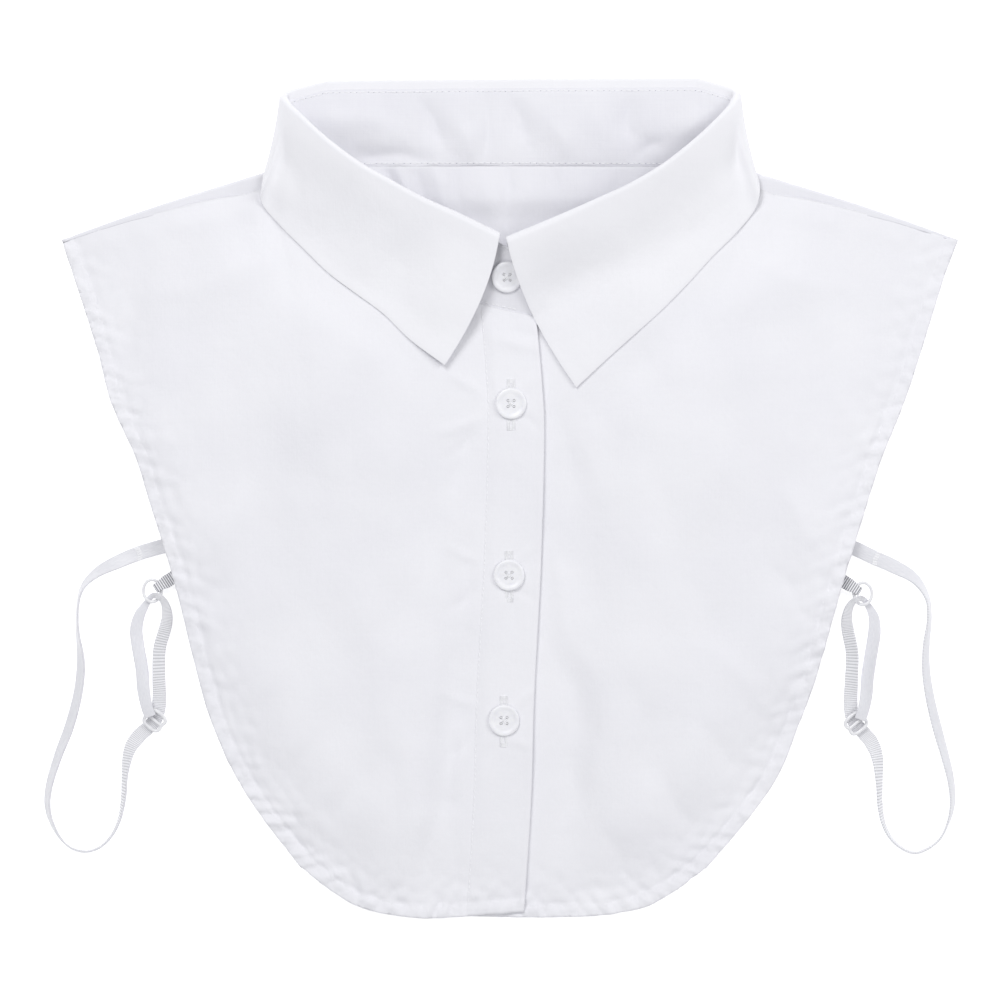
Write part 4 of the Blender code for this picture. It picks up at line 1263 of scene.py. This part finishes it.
def backSurface(facts):
    patternTop, levelLine = [np.vstack([mirrored(half, -1), half[-2::-1]]) for half in backHalf(facts)]
    edges = []
    sides = []
    for side, end in ((-1, 0), (1, -1)):
        rows = []
        for x, y in outlineRows(side):
            pull = 1.0 - facts["hemInset"] / math.hypot(x, y)
            rows.append((x * pull, y * pull))
        edges.append(rows)
        sides.append(smoothLine([tuple(levelLine[end])] + rows[: cornerRow + 1], even(facts["backRows"])))
    shares = lengthShares(levelLine)
    hem = smoothLine(edges[0][cornerRow:] + [backHemMiddle] + edges[1][cornerRow:][::-1], shares)
    flat = coonsPatch(levelLine, hem, *sides, shares)
    turned = even(facts["backTurnRows"])[:-1, None, None]
    pattern = np.concatenate([patternTop * (1.0 - turned) + levelLine * turned, flat], axis=0)
    surface = np.zeros((*pattern.shape[:2], 3))
    for place in np.ndindex(pattern.shape[:2]):
        surface[place] = turnOver(*pattern[place])
    return surface


def backOutline(surface):
    first = panelFacts["backTurnRows"] + 1
    return np.vstack([surface[first:, 0], surface[-1, 1:], surface[first:-1, -1][::-1]])


# Collar stations from the centre front round the side of the neck to the centre back. seam is
# where band and panels meet, roll the leaf's fold line, edge the leaf's outer edge. turn is the
# way the outside faces at the roll: 90 up, 0 sideways, -90 down. bend is the roll's radius.
#   seam x      y    z  roll x      y     z  edge x      y     z turn bend
collarRight = (
    (-8.8, 77.2, 6.6, -4, 105.6, 14.2, -26, 53.6, 11.2, 90, 2.4),
    (-24, 83.2, 6.6, -20, 113.2, 15.6, -39.8, 63.8, 10.6, 90, 2.2),
    (-37, 88.8, 6.5, -34, 119.2, 17, -50, 73.7, 10.4, 90, 1.8),
    (-50, 94.4, 6.4, -47, 126, 18.4, -61, 81.9, 10.4, 90, 1.6),
    (-63.2, 100.4, 6.3, -60, 133.4, 19.2, -72.2, 90.3, 10.2, 90, 1.6),
    (-77, 107.8, 6.1, -72.4, 142.8, 18.4, -82.9, 100.7, 9.8, 88, 1.6),
    (-87.6, 115.8, 5.9, -81.6, 151.4, 16, -91.4, 109.2, 9.4, 80, 1.6),
    (-92, 122, 5.6, -86.6, 156.4, 12.8, -99, 118.3, 9.2, 62, 1.6),
    (-93.4, 127.6, 5, -88.8, 159.2, 10.4, -98.8, 124.6, 9, 30, 1.6),
    (-93.2, 132, 3.8, -90.2, 161.4, 8, -97.6, 132.6, 4.8, -4, 1.5),
    (-89.6, 133.4, 2.4, -88.6, 163.6, 4.8, -95.4, 131.2, 0.7, -58, 1.4),
    (-83.2, 133.3, 2.2, -80.9, 165.8, 3.4, -86.4, 127.8, 0.6, -76, 1.4),
    (-76.8, 133.2, 2.1, -74, 167.7, 2.6, -76.8, 125.2, 0.6, -88, 1.4),
    (-72, 133.2, 2.1, -70.4, 168, 2.4, -72.4, 124.8, 0.6, -89, 1.4),
    (-44.8, 133.4, 2.1, -44, 168.4, 2, -44.8, 124.4, 0.6, -90, 1.4),
    (0, 133.6, 2.1, 0, 168.8, 2, 0, 124, 0.6, -90, 1.4),
)
collarLeft = (
    (4.8, 75.8, 4.8, -1.6, 103.8, 15.6, 26.4, 44.8, 14.6, 90, 2.4),
    (22, 82.4, 5.4, 18, 111.8, 16.6, 39.2, 56.7, 12.6, 90, 2.3),
    (37, 88.8, 6.1, 34, 118.8, 17, 50.2, 66.5, 11.2, 90, 1.8),
    (50, 94.4, 6.4, 47, 124.6, 18.4, 60.7, 76, 10.8, 90, 1.6),
    (63.2, 100.4, 6.3, 60.6, 132.6, 19.2, 71, 86.5, 10.5, 90, 1.6),
    (77, 107.8, 6.1, 73.2, 142.6, 18.4, 80.5, 96.9, 10, 88, 1.6),
    (87.6, 115.8, 5.9, 82.6, 151.6, 16, 89.4, 105.8, 9.6, 80, 1.6),
    (92, 122, 5.6, 87.2, 156.8, 12.8, 97.4, 115.5, 9.3, 62, 1.6),
    (93.4, 127.6, 5, 89.2, 160, 10.4, 99.4, 123.2, 9, 32, 1.6),
    (93.2, 132, 3.8, 90.4, 162.4, 8, 98.4, 130.4, 4.8, 0, 1.5),
    (89.6, 133.4, 2.4, 88.8, 164.6, 4.8, 95.8, 130.8, 0.7, -62, 1.4),
    (83.2, 133.3, 2.2, 82, 166.9, 3.4, 86.4, 127.8, 0.6, -78, 1.4),
    (76.8, 133.2, 2.1, 75.6, 168.8, 2.6, 76.8, 125.2, 0.6, -88, 1.4),
    (72, 133.2, 2.1, 71.4, 169, 2.4, 72.4, 124.8, 0.6, -89, 1.4),
    (44.8, 133.4, 2.1, 44, 169, 2, 44.8, 124.4, 0.6, -90, 1.4),
)
frontStations = 7  # rows of the tables above that belong to a front's neckline
bandBelowRoll = 4.0  # the band's top edge lies this far below the roll line
underEndDrop = 2.6  # the left front's band top lies lower, to pass under the right one
leafSag = 0.3  # 0 hangs the leaf straight from roll to edge, 1 lets it follow the band
# the band's buttoned ends: seam, then top
bandOverEnd = (
    (10.4, 72.4, 6.6, 10.2, 89, 10.4),
    (7, 73.6, 6.6, 8.6, 95, 11.4),
    (1, 75.2, 6.6, 3.6, 98.4, 11.8),
)
bandUnderEnd = (
    (-10.4, 72.4, 4.6, -10.2, 90, 6.4),
    (-7, 73.4, 4.6, -9, 96, 7.4),
    (-2, 74.2, 4.7, -6, 99.4, 8.2),
)

collarFacts = {
    "wall": 0.55,
    "bandWall": 0.7,
    "rest": 0.57,
    "clear": 0.56,
    "tipLift": 2.4,
    "tipLine": 76.0,  # y where both points meet the centre front
    "hugRight": 0.5,
    "hugLeft": 0.6,
    "hugEdge": 0.97,
    "drift": 0.9,
    "steps": 10,
    "rollRows": 14,
    "runRows": 26,
    "standRows": 4,
    "bandRows": 30,
    "bandStep": 0.95,
    "bandDrift": 0.6,
    "bandStand": 2.1,  # how far the open band stands off its straight line
}

# Soft bends pressed into the leaf: a line, its reach and its height, as on the panels
leafBends = (
    (-84, 128, -88, 112, 3, -0.77, 0.6),
    (-62, 128, -76, 104, 5, -0.66, 1),
    (-52, 112, -58, 92, 6, 0.55, 1),
    (-40, 106, -44, 84, 6, -0.55, -1),
    (-26, 96, -30, 66, 6, 0.66, 1),
    (60, 122, 72, 100, 6, -0.66, -1),
    (42, 106, 50, 82, 7, 0.66, 1),
    (24, 98, 34, 66, 6, -0.55, 1),
    (82, 128, 88, 110, 4, 0.66, 0.6),
)
# Soft bends of the band where it lies open inside the neck, in the same way
bandBends = (
    (-80, 152, -48, 150, 8, 1, 2),
    (-60, 137.5, -33, 136, 3.4, -1.3, 1),
    (-37, 161, -27, 140, 4.4, -1.2, 1),
    (-20, 151, -15, 136, 4.6, 0.9, 0.8),
    (-9, 162, -10, 136, 2, -0.6, 0.6),
    (0, 160, 6, 143, 5.4, -1.2, 0.8),
    (16, 152, 24, 136, 5, 0.9, 1),
    (47, 161, 49, 143, 4.6, -1.2, -1),
    (33, 158, 37, 142, 5, 0.5, 1),
    (61, 144, 50, 137, 3.4, -1, -0.8),
    (82, 157, 67, 146, 6, 1, 1),
)


def collarStations(steps):
    return smoothRows(collarRight + collarLeft[::-1], steps)


def stationFrame(row):
    # the way up the band, and the way the outside faces at the roll, as long as its radius
    up = unit(row[3:6] - row[0:3])
    turn = math.radians(row[9])
    sideways = -1.0 if row[0] < 0 else 1.0
    outside = np.array([sideways * math.cos(turn), 0.0, math.sin(turn)])
    return up, unit(outside - up * (outside @ up)) * row[10]


def bandTop(row):
    up, bend = stationFrame(row)
    x, y = row[0:2]
    top = row[3:6] - up * bandBelowRoll - bend
    top[2] -= underEndDrop * (1.0 - smoothStep(x, 5.0, 37.0)) * (y < 100.0 and x > 0.0)
    return top


def leafSection(row, facts):
    edge = row[6:9]
    up, bend = stationFrame(row)
    radius = np.linalg.norm(bend)
    centre = row[3:6] - up * radius
    first = bandTop(row) - up * 0.5
    points = []
    for step in range(facts["standRows"]):
        points.append(first + (centre - bend - first) * step / facts["standRows"])
    for step in range(facts["rollRows"] + 1):
        angle = math.pi * step / facts["rollRows"]
        points.append(centre - bend * math.cos(angle) + up * radius * math.sin(angle))
    start = points[-1]
    control = start - up * np.linalg.norm(edge - start) * 0.45
    straight = start[2] + (edge[2] - start[2]) * 0.45
    control[2] = straight + (control[2] - straight) * leafSag
    for step in range(1, facts["runRows"] + 1):
        t = step / facts["runRows"]
        points.append((1 - t) ** 2 * start + 2 * t * (1 - t) * control + t**2 * edge)
    for point in points:
        point[2] = max(point[2], facts["wall"] / 2 + 0.05)
    return points


def leafSurface(facts, tree):
    stations = collarStations(facts["steps"])
    surface = np.array([leafSection(row, facts) for row in stations])
    x, y, z = np.moveaxis(surface, 2, 0)
    onRun = facts["standRows"] + facts["rollRows"]
    run = np.clip((np.arange(surface.shape[1]) - onRun) / facts["runRows"], 0.0, 1.0)[None, :]
    # the leaf settles on what is below it: its edge everywhere, and the left front's end all over
    across, up = stations[:, 0, None], stations[:, 1, None]
    front = 1.0 - smoothStep(up, 120.0, 128.0)
    end = bell(up - facts["tipLine"], 14.0)
    right = across < 0.0
    leftHold = facts["hugLeft"] + (facts["hugEdge"] - facts["hugLeft"]) * end
    hold = np.where(right, facts["hugRight"] * (1.0 - end), leftHold)
    hug = np.maximum(hold * smoothStep(run, 0.04, 0.5), facts["hugEdge"] * smoothStep(run, 0.6, 1.0)) * front
    below = z - 5.0
    for row, column in zip(*np.nonzero(hug > 0.001)):
        below[row, column] = heightOn(tree, x[row, column], y[row, column])
    tip = bell(up - facts["tipLine"], 5.0)
    # the highest of each place and its eight neighbours
    wide = np.pad(below, 1, "edge")
    high, broad = below.shape
    below = np.max([wide[i : i + high, j : j + broad] for i in range(3) for j in range(3)], axis=0)
    lift = facts["rest"] + facts["tipLift"] * tip * smoothStep(run, 0.5, 1.0) * right
    settled = z + (below + lift - z) * hug
    for axis, count in ((0, 7), (1, 5)):
        settled = np.apply_along_axis(runningMean, axis, settled, count)
    z += (np.maximum(settled, below + facts["clear"]) - z) * (smoothStep(run, 0.0, 0.12) * front)
    relief = foldsOn(x, y, leafBends) + driftRelief(x, y, 9.0, facts["drift"])
    inner = smoothStep(run, 0.0, 0.2) * (1.0 - 0.8 * smoothStep(run, 0.75, 1.0)) * front
    z += np.maximum(relief, -0.5) * inner
    return surface


def bandSurface(facts):
    rows = [[*row[0:3], *bandTop(row)] for row in collarStations(facts["steps"])]
    first = smoothRows([*bandOverEnd, rows[0]], 5)[:-1]
    last = smoothRows([rows[-1], *bandUnderEnd[::-1]], 5)[1:]
    grid = []
    for row in np.vstack([first, rows, last]):
        foot, top = row[0:3], row[3:6]
        start = foot + unit(top - foot) * 0.05
        grid.append([start + (top - start) * share for share in even(facts["bandRows"])])
    columns = np.array(grid).transpose(1, 0, 2)
    reach = reachAlong(columns[facts["bandRows"] // 2])
    wanted = np.linspace(0.0, reach[-1], int(reach[-1] / facts["bandStep"]))
    surface = np.stack([atReach(column, reach, wanted) for column in columns], 1)
    normals = surfaceNormals(surface)
    x, y, z = np.moveaxis(surface, 2, 0)
    bend = 2.0 * foldsOn(x, y, bandBends) + driftRelief(x * 2.0, y * 2.0, 6.0, facts["bandDrift"])
    bend = np.maximum(bend + facts["bandStand"], 0.0)
    bend = bend * (1.0 - smoothStep(z, 8.0, 12.0)) * smoothStep(y, 126.0, 132.0)
    hold = np.sin(math.pi * even(facts["bandRows"])[None, :]) ** 0.5
    return surface + normals * (bend * hold)[:, :, None]


def hemStrip(surface, edge, seed, half):
    # the hem turned under and sewn: a flat tube along the panel's edge
    line = denseEdge(edge, hemFacts["step"])
    tangents = np.gradient(line, axis=0)
    # soften the turn at corners
    for axis in range(2):
        tangents[3:-3, axis] = np.convolve(tangents[:, axis], np.ones(7) / 7, "valid")
    tree = surfaceTree(surface)
    turn = hemFacts["turn"]
    # way in from the edge, height as a share of half the hem, and share of the gathers
    profile = (
        (turn + 1, 0.1, 0),
        (turn + 0.35, 0, 0.1),
        (turn - 0.25, 0.15, 0.4),
        (turn - 1, 0.8, 0.9),
        (turn - 2.2, 0.98, 1),
        (2.2, 1, 1),
        (0.9, 1, 1.1),
        (0.35, 0.86, 1.1),
        (0.08, 0.5, 1),
        (0, 0, 1),
        (0.15, -0.5, 1),
        (0.6, -0.8, 1),
        (1.4, -0.95, 0.8),
        (turn - 2, -0.95, 0.5),
        (turn - 0.4, -0.75, 0.2),
        (turn + 0.8, -0.2, 0),
    )
    grid = []
    for point, tangent, s in zip(line[:, :2], tangents[:, :2], reachAlong(line)):
        along = unit(tangent)
        inward = np.array([-along[1], along[0]])
        if inward @ point > 0:
            inward = -inward
        row = []
        waver = 0.1 * float(gatherWave(np.array(s), np.array(0.0), seed, True))
        for t, rise, gather in profile:
            spot = point + inward * (t + waver * (1.0 if t < 1.0 else 0.3))
            level = heightOn(tree, *(point + inward * max(t, 0.3)))
            fine = 0.2 * float(gatherWave(np.array(s), np.array(t), seed, True)) * gather
            fine += 0.4 * noise.noise(Vector((s * 0.34, t * 0.5, seed))) * gather
            row.append((*spot, level + rise * half + fine * (1.0 if rise > 0 else 0.4)))
        grid.append([*row, row[0]])
    return np.array(grid)


backPanel = backSurface(panelFacts)
shoulderEnd = panelFacts["backShoulderColumns"]
splitAt = (shoulderEnd - 1, backPanel.shape[1] - shoulderEnd - 1)
x, y, z = np.moveaxis(backPanel, 2, 0)
inNeck = smoothStep(y, 96.0, 126.0) * (1.0 - smoothStep(np.abs(x), 70.0, 92.0)) * (z < 3.5)
z += inNeck * foldsOn(x, y, backCreases, panelFacts["neckPucker"])
inside = smoothStep(y, 20.0, 70.0) * (1.0 - smoothStep(y, 96.0, 118.0))
inside = inside * (1.0 - smoothStep(np.abs(x), 60.0, 90.0))
z += inside * panelFacts["neckWaves"] * (1.0 + np.sin(0.16 * x + 0.7) * np.sin(0.05 * y))
seeds = hemFacts["seeds"]
backPanel = gathered(backPanel, backOutline(backPanel), seeds["hemBack"], hemFacts["backDepth"])

frontRight = frontSurface(-1, panelFacts)
frontLeft = frontSurface(1, panelFacts)
# the left front lies close under the right one's free edge
x, y, z = np.moveaxis(frontLeft, 2, 0)
overX, overY, overZ = frontRight[::-1, 0].T
under = np.interp(y, overY, overZ) - panelFacts["closeBelow"]
underX = np.interp(y, overY, overX)
rows = np.arange(len(z))
atEdge = np.argmin(np.abs(x - underX - 2.0), axis=1)
gap = runningMean((under[rows, atEdge] - z[rows, atEdge]) * smoothStep(rows, 3, 16), 13)
z += gap[:, None] * (1.0 - smoothStep(x, 14.0, 44.0))
z[:] = np.where(x < underX + 1.0, np.minimum(z, under + 0.1), z)
# each front lies level with the shoulder strip it is sewn to
backTree = surfaceTree(backPanel)
start = panelFacts["neckColumns"] + 2
for front in (frontRight, frontLeft):
    sewn = front[0, start:]
    level = np.array([heightOn(backTree, px, py) for px, py in sewn[:, :2]]) - 0.1
    rise = runningMean(np.clip(level - sewn[:, 2], 0.0, 1.6), 5)
    reach = np.hypot(*np.moveaxis(front[:, start:, :2] - front[:1, start:, :2], 2, 0))
    front[:, start:, 2] += rise[None, :] * bell(reach, 5.0) * smoothStep(np.arange(len(sewn)), -2, 4)
    aboveFloor(front)
hemShape = (hemFacts["depth"], hemFacts["rise"])
frontRight = gathered(frontRight, outerEdge(frontRight), seeds["hemRight"], *hemShape)
frontLeft = gathered(frontLeft, outerEdge(frontLeft), seeds["hemLeft"], *hemShape)

wall = panelFacts["wall"]
backCloth = clothPiece("backPanelCloth", backPanel, wall, backCottonPaintedShade, splitAt)
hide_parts("back_panel")
rightCloth = clothPiece("frontRightCloth", frontRight, wall, cotton)
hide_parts("front_right")
leftCloth = clothPiece("frontLeftCloth", frontLeft, wall, cotton)
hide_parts("front_left")

hemThread = bmesh.new()
for name, surface, edge, half in (
    ("hemBack", backPanel, backOutline(backPanel), hemFacts["backHalf"]),
    ("hemRight", frontRight, outerEdge(frontRight), hemFacts["half"]),
    ("hemLeft", frontLeft, outerEdge(frontLeft), hemFacts["half"]),
):
    strip = hemStrip(surface, edge, seeds[name], half)
    strip[:, :, 2] = np.maximum(strip[:, :, 2], 0.03)
    makePiece(name, gridWork(strip, ends=True), [cotton])
    if name != "hemBack":
        # stitches along the hem's groove
        groove = strip[:, 1] * 0.45 + strip[:, 2] * 0.55 + np.array([0.0, 0.0, 0.02])
        stitchLine(hemThread, groove, *stitches["hem"], 1.0)
hemSewing = makePiece("hemSewing", hemThread, [thread])
print("panels and hems made")


# Placket: a band of cloth folded under along the free edge and sewn along its inner side
placketFacts = {
    "width": 24.0,
    "step": 0.95,
    "inner": 0.12,
    "fold": 0.5,
    "under": 13.0,
    "wall": 0.4,
    # its folded edge: the way in from the edge, and the height over the face
    "edge": ((2.0, 0.12), (1.2, 0.26), (0.45, 0.2), (0.06, -0.02), (0.1, -0.4), (0.45, -0.54)),
}
# Small creases the buttons pull into it
placketCreases = (
    (1.5, -83.5, 8.5, -76.5, 1.6, 0.5, 0.4),
    (0.5, -96, 7.5, -98.5, 1.5, 0.45, 0.3),
    (-5, -95.5, -9, -104, 1.5, -0.35, 0.3),
    (2, -25, 9.5, -19, 1.6, 0.4, 0.4),
    (2, -36, 10, -40, 1.6, -0.35, 0.3),
    (-3, -37, -5, -47, 1.4, 0.4, 0.3),
    (0.5, -38.5, 1.5, -51, 1.6, -0.35, 0.3),
    (4, 43, 12, 49, 1.7, 0.45, 0.4),
    (4, 34, 11, 29, 1.6, -0.4, 0.3),
    (-5, 44, -9, 53, 1.5, 0.4, 0.3),
    (-5, 33, -8, 22, 1.7, -0.35, 0.3),
    (2, 67, 12, 64, 2, -0.4, 0.5),
    (-6, 64, 11, 59.5, 2.6, 0.7, 0.5),
)


def placketSurface(front, facts):
    strip = []
    for number, row in enumerate(front):
        reach = reachAlong(row, 2)
        ease = 0.3 + 0.7 * smoothStep(number, 0, 9)

        def at(distance, rise):
            spot = [float(np.interp(distance, reach, row[:, axis])) for axis in range(3)]
            return (spot[0], spot[1], spot[2] + rise * ease)

        line = []
        for distance in np.linspace(facts["width"] + 0.8, 1.2, 24):
            near = smoothStep(facts["width"] - distance, -0.6, 6.0)
            out = 0.5 * (1.0 - smoothStep(facts["width"] - distance, -0.8, 1.8))
            line.append(at(distance, facts["inner"] + (facts["step"] - facts["inner"]) * near - out))
        line[-2:] = [at(distance, facts["step"] + rise) for distance, rise in facts["edge"]]
        for distance in np.linspace(1.2, facts["under"], 8):
            line.append(at(distance, facts["step"] - facts["fold"]))
        strip.append(line)
    return np.array(strip)


placket = placketSurface(frontRight, placketFacts)
# the free edge wavers and lifts between the buttons
x, y, z = np.moveaxis(placket, 2, 0)
columns = np.arange(placket.shape[1])[None, :]
outer = smoothStep(columns, 10, 24) * (columns < 60)
waver = 0.45 * np.sin(y * 0.055 + 0.8) + 0.3 * np.sin(y * 0.13 + 2.0)
waver = outer * np.maximum(waver, -0.35) * 0.6
z += waver * smoothStep(y, -160.0, -150.0) * (1.0 - smoothStep(y, 60.0, 70.0))
top = (columns < 26) * smoothStep(columns, 2, 6)
for row in placketCreases:
    z += top * softFold(x, y, *row)
placketCloth = clothPiece("placketCloth", placket, placketFacts["wall"], cotton)
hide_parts("placket")
placketTree = surfaceTree(placket)

seamThread = bmesh.new()
stitchLine(seamThread, placket[2:-4, 2] + np.array([0.0, 0.0, 0.2]), *stitches["placket"], 2.0)
print("placket made")

# Neckband and collar leaf
band = bandSurface(collarFacts)
leaf = leafSurface(collarFacts, surfaceTree(frontRight, frontLeft, placket, band, backPanel))
bandTree = surfaceTree(band)
bandCloth = clothPiece("neckbandCloth", band, collarFacts["bandWall"], bandCottonPaintedShade, rim=0.25)
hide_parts("neckband")
leafCloth = clothPiece("collarLeafCloth", leaf, collarFacts["wall"], collarCottonPaintedLight, rim=0.3)
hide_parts("collar_leaf")


def bandStitches(work, shadePits, surface, share, offset, first, last, seed):
    count = surface.shape[1] - 1
    column = share * count
    low = int(column)
    part = column - low
    line = surface[:, low] * (1 - part) + surface[:, min(low + 1, count)] * part
    outward = surfaceNormals(surface)[:, low]
    run = slice(int(first * len(line)), int(last * len(line)))
    stitchLine(work, (line + outward * offset)[run], *stitches["band"], seed)
    if shadePits is not None:
        stitchLine(shadePits, (line + outward * offset * 0.66)[run], *stitches["pitShade"], seed, 0.0)


# Rows of stitches on the band: share of its height, where each starts and ends as a share of
# its length, and seed
bandSeams = (
    (0.962, 0.03, 0.97, 0.5),
    (0.05, 0.02, 0.98, 1.5),
)
shadePitWork = bmesh.new()
for offset in (0.42, -0.42):
    # needle holes, grey pits of painted shade, show on the band's inner side only
    shadePits = shadePitWork if offset > 0.0 else None
    for share, first, last, seed in bandSeams:
        bandStitches(seamThread, shadePits, band, share, offset, first, last, seed)
seamSewing = makePiece("seamSewing", seamThread, [thread])
seamShadePits = makePiece("seamShadePits", shadePitWork, [needleHoleShade])
print("band, leaf and seams made")


# Buttons: a dished disc with a raised rim and four holes, sewn on with thread
#     x      y  tilt
buttonSpots = (
    (-1.2, 88.8, 12.5),
    (0.4, 38.4, 0),
    (-0.4, -30, 0),
    (-2.4, -88, 0),
)
buttonFacts = {
    "overBand": 0.35,
    "overPlacket": 0.05,
    "hole": 0.54,
    "holeReach": 1.2,
    "turns": 72,
    #            radius height
    "profile": (
        (0, 1),
        (3.5, 1),
        (4.1, 1.06),
        (4.6, 1.24),
        (5, 1.4),
        (5.4, 1.46),
        (5.8, 1.4),
        (6.1, 1.22),
        (6.25, 0.95),
        (6.2, 0.65),
        (5.8, 0.3),
        (5.2, 0.08),
        (4.3, 0),
        (0, 0),
    ),
}


def makeButton(name, spot, tilt, facts):
    work = bmesh.new()
    points = [work.verts.new(Vector((radius, 0.0, height)) * mm) for radius, height in facts["profile"]]
    edges = [work.edges.new(pair) for pair in zip(points[:-1], points[1:])]
    bmesh.ops.spin(
        work, geom=points + edges, cent=(0, 0, 0), axis=(0, 0, 1), dvec=(0, 0, 0),
        angle=2.0 * math.pi, steps=facts["turns"], use_merge=True, use_duplicate=False)
    bmesh.ops.remove_doubles(work, verts=work.verts, dist=0.000005)
    bmesh.ops.recalc_face_normals(work, faces=work.faces)
    piece = makePiece(name, work, [pearl])
    drills = bmesh.new()
    reach, bore = facts["holeReach"], facts["hole"] * mm
    for x in (-1, 1):
        for y in (-1, 1):
            place = Matrix.Translation(Vector((x * reach, y * reach, 1.0)) * mm)
            bmesh.ops.create_cone(
                drills, cap_ends=True, segments=20, radius1=bore, radius2=bore, depth=6.0 * mm, matrix=place)
    drill = makeObject(name + "Drill", drills)
    cut = piece.modifiers.new("Holes", "BOOLEAN")
    cut.operation = "DIFFERENCE"
    cut.solver = "EXACT"
    cut.object = drill
    bpy.context.view_layer.update()
    drilled = piece.evaluated_get(bpy.context.evaluated_depsgraph_get())
    finished = bpy.data.meshes.new_from_object(drilled)
    piece.modifiers.clear()
    piece.data = finished
    finished.name = name
    bpy.data.objects.remove(drill)
    place = Matrix.Translation(Vector(spot) * mm) @ Matrix.Rotation(math.radians(tilt), 4, "X")
    finished.transform(place)
    for polygon in finished.polygons:
        polygon.use_smooth = True
    edge = piece.modifiers.new("Crisp holes", "EDGE_SPLIT")
    edge.split_angle = math.radians(50)
    # thread crossed through the four holes
    sewing = bmesh.new()
    for way in (-1, 1):
        for lay in (-0.2, 0.2):
            middle = (lay * way, lay, 1.08 if way > 0 else 1.18)
            addBar(sewing, middle, (way, -1.0, 0.0), (3.3, 0.4, 0.4))
        for y in (-1, 1):
            addBar(sewing, (way * reach, y * reach, 0.68), (0.0, 0.0, 1.0), (1.3, 0.9, 0.9))
    sewing.transform(place)
    makePiece(name + "Thread", sewing, [thread])
    return piece


for number, (x, y, tilt) in enumerate(buttonSpots, start=1):
    tree, over = (bandTree, "overBand") if number == 1 else (placketTree, "overPlacket")
    spot = (x, y, heightOn(tree, x, y) + buttonFacts[over])
    button = makeButton("button" + str(number), spot, tilt, buttonFacts)
    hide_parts("button_" + str(number))
print("buttons made")

# Buttonholes, worked over the slit with close stitches
buttonholeFacts = {"long": 20.2, "wide": 3.4, "pitch": 0.42, "slit": 0.35, "tack": 1.6, "below": 0.4}


def makeButtonhole(name, x, y, facts):
    work = bmesh.new()
    count = int(facts["long"] / facts["pitch"])
    half = facts["wide"] / 2
    for step in range(count + 1):
        place = y - facts["long"] / 2 + step * facts["pitch"]
        if abs(place - y) > facts["long"] / 2 - facts["tack"]:
            level = heightOn(placketTree, x, place) + 0.28
            addBar(work, (x, place, level), (1.0, 0.02, 0.0), (facts["wide"] + 0.3, 0.46, 0.5))
            continue
        for way in (-1, 1):
            middle = x + way * (half + facts["slit"]) / 2
            level = heightOn(placketTree, middle, place) + 0.25
            size = (half - facts["slit"] / 2 + 0.2, 0.44, 0.42)
            addBar(work, (middle, place, level), (1.0, 0.03 * math.sin(step * 1.9), 0.0), size)
    return makePiece(name, work, [thread])


for number, (x, y, tilt) in enumerate(buttonSpots[1:], start=2):
    makeButtonhole("buttonhole" + str(number), x, y - buttonholeFacts["below"], buttonholeFacts)
print("buttonholes made")


# Floor and light
studio = {
    "floor": (0.93, 0.93, 0.93),
    "floorGlow": 0.5,
    "sky": 0.465,
    "skyColour": (0.97, 0.98, 1.0, 1.0),
    # place, size and power of each soft box
    "lights": (
        ("backBox", (-0.44, 0.76, 1.1), 0.55, 7.9),
        ("rightBox", (0.85, 0.4, 0.85), 0.6, 4.2),
        ("nearBox", (0.0, -0.75, 0.8), 0.6, 1.6),
    ),
}


def makeFloor(facts):
    work = bmesh.new()
    bmesh.ops.create_grid(work, x_segments=1, y_segments=1, size=2.0)
    for vertex in work.verts:
        vertex.co.z = -0.00002
    material, tree, shader, place = newMaterial(
        "floorPaper", facts["floor"], 0.9,
        Emission_Color=(1.0, 1.0, 1.0, 1.0), Emission_Strength=facts["floorGlow"])
    bumpChain(tree, shader, ((noiseOn(tree, place, 900.0, 3.0), 0.05, 0.0001),))
    makeObject("floor", work, [material])


def makeLight(name, spot, size, power):
    lamp = bpy.data.lights.new(name, "AREA")
    lamp.shape = "SQUARE"
    lamp.size = size
    lamp.energy = power
    light = bpy.data.objects.new(name, lamp)
    light.location = spot
    light.rotation_euler = (Vector() - Vector(spot)).to_track_quat("-Z", "Y").to_euler()
    bpy.context.scene.collection.objects.link(light)


makeFloor(studio)
for name, spot, size, power in studio["lights"]:
    makeLight(name, spot, size, power)
world = bpy.data.worlds.new("studio")
world.use_nodes = True
sky = world.node_tree.nodes["Background"]
sky.inputs["Color"].default_value = studio["skyColour"]
sky.inputs["Strength"].default_value = studio["sky"]
bpy.context.scene.world = world
bpy.context.scene.view_settings.view_transform = "Standard"
print("floor and light made")
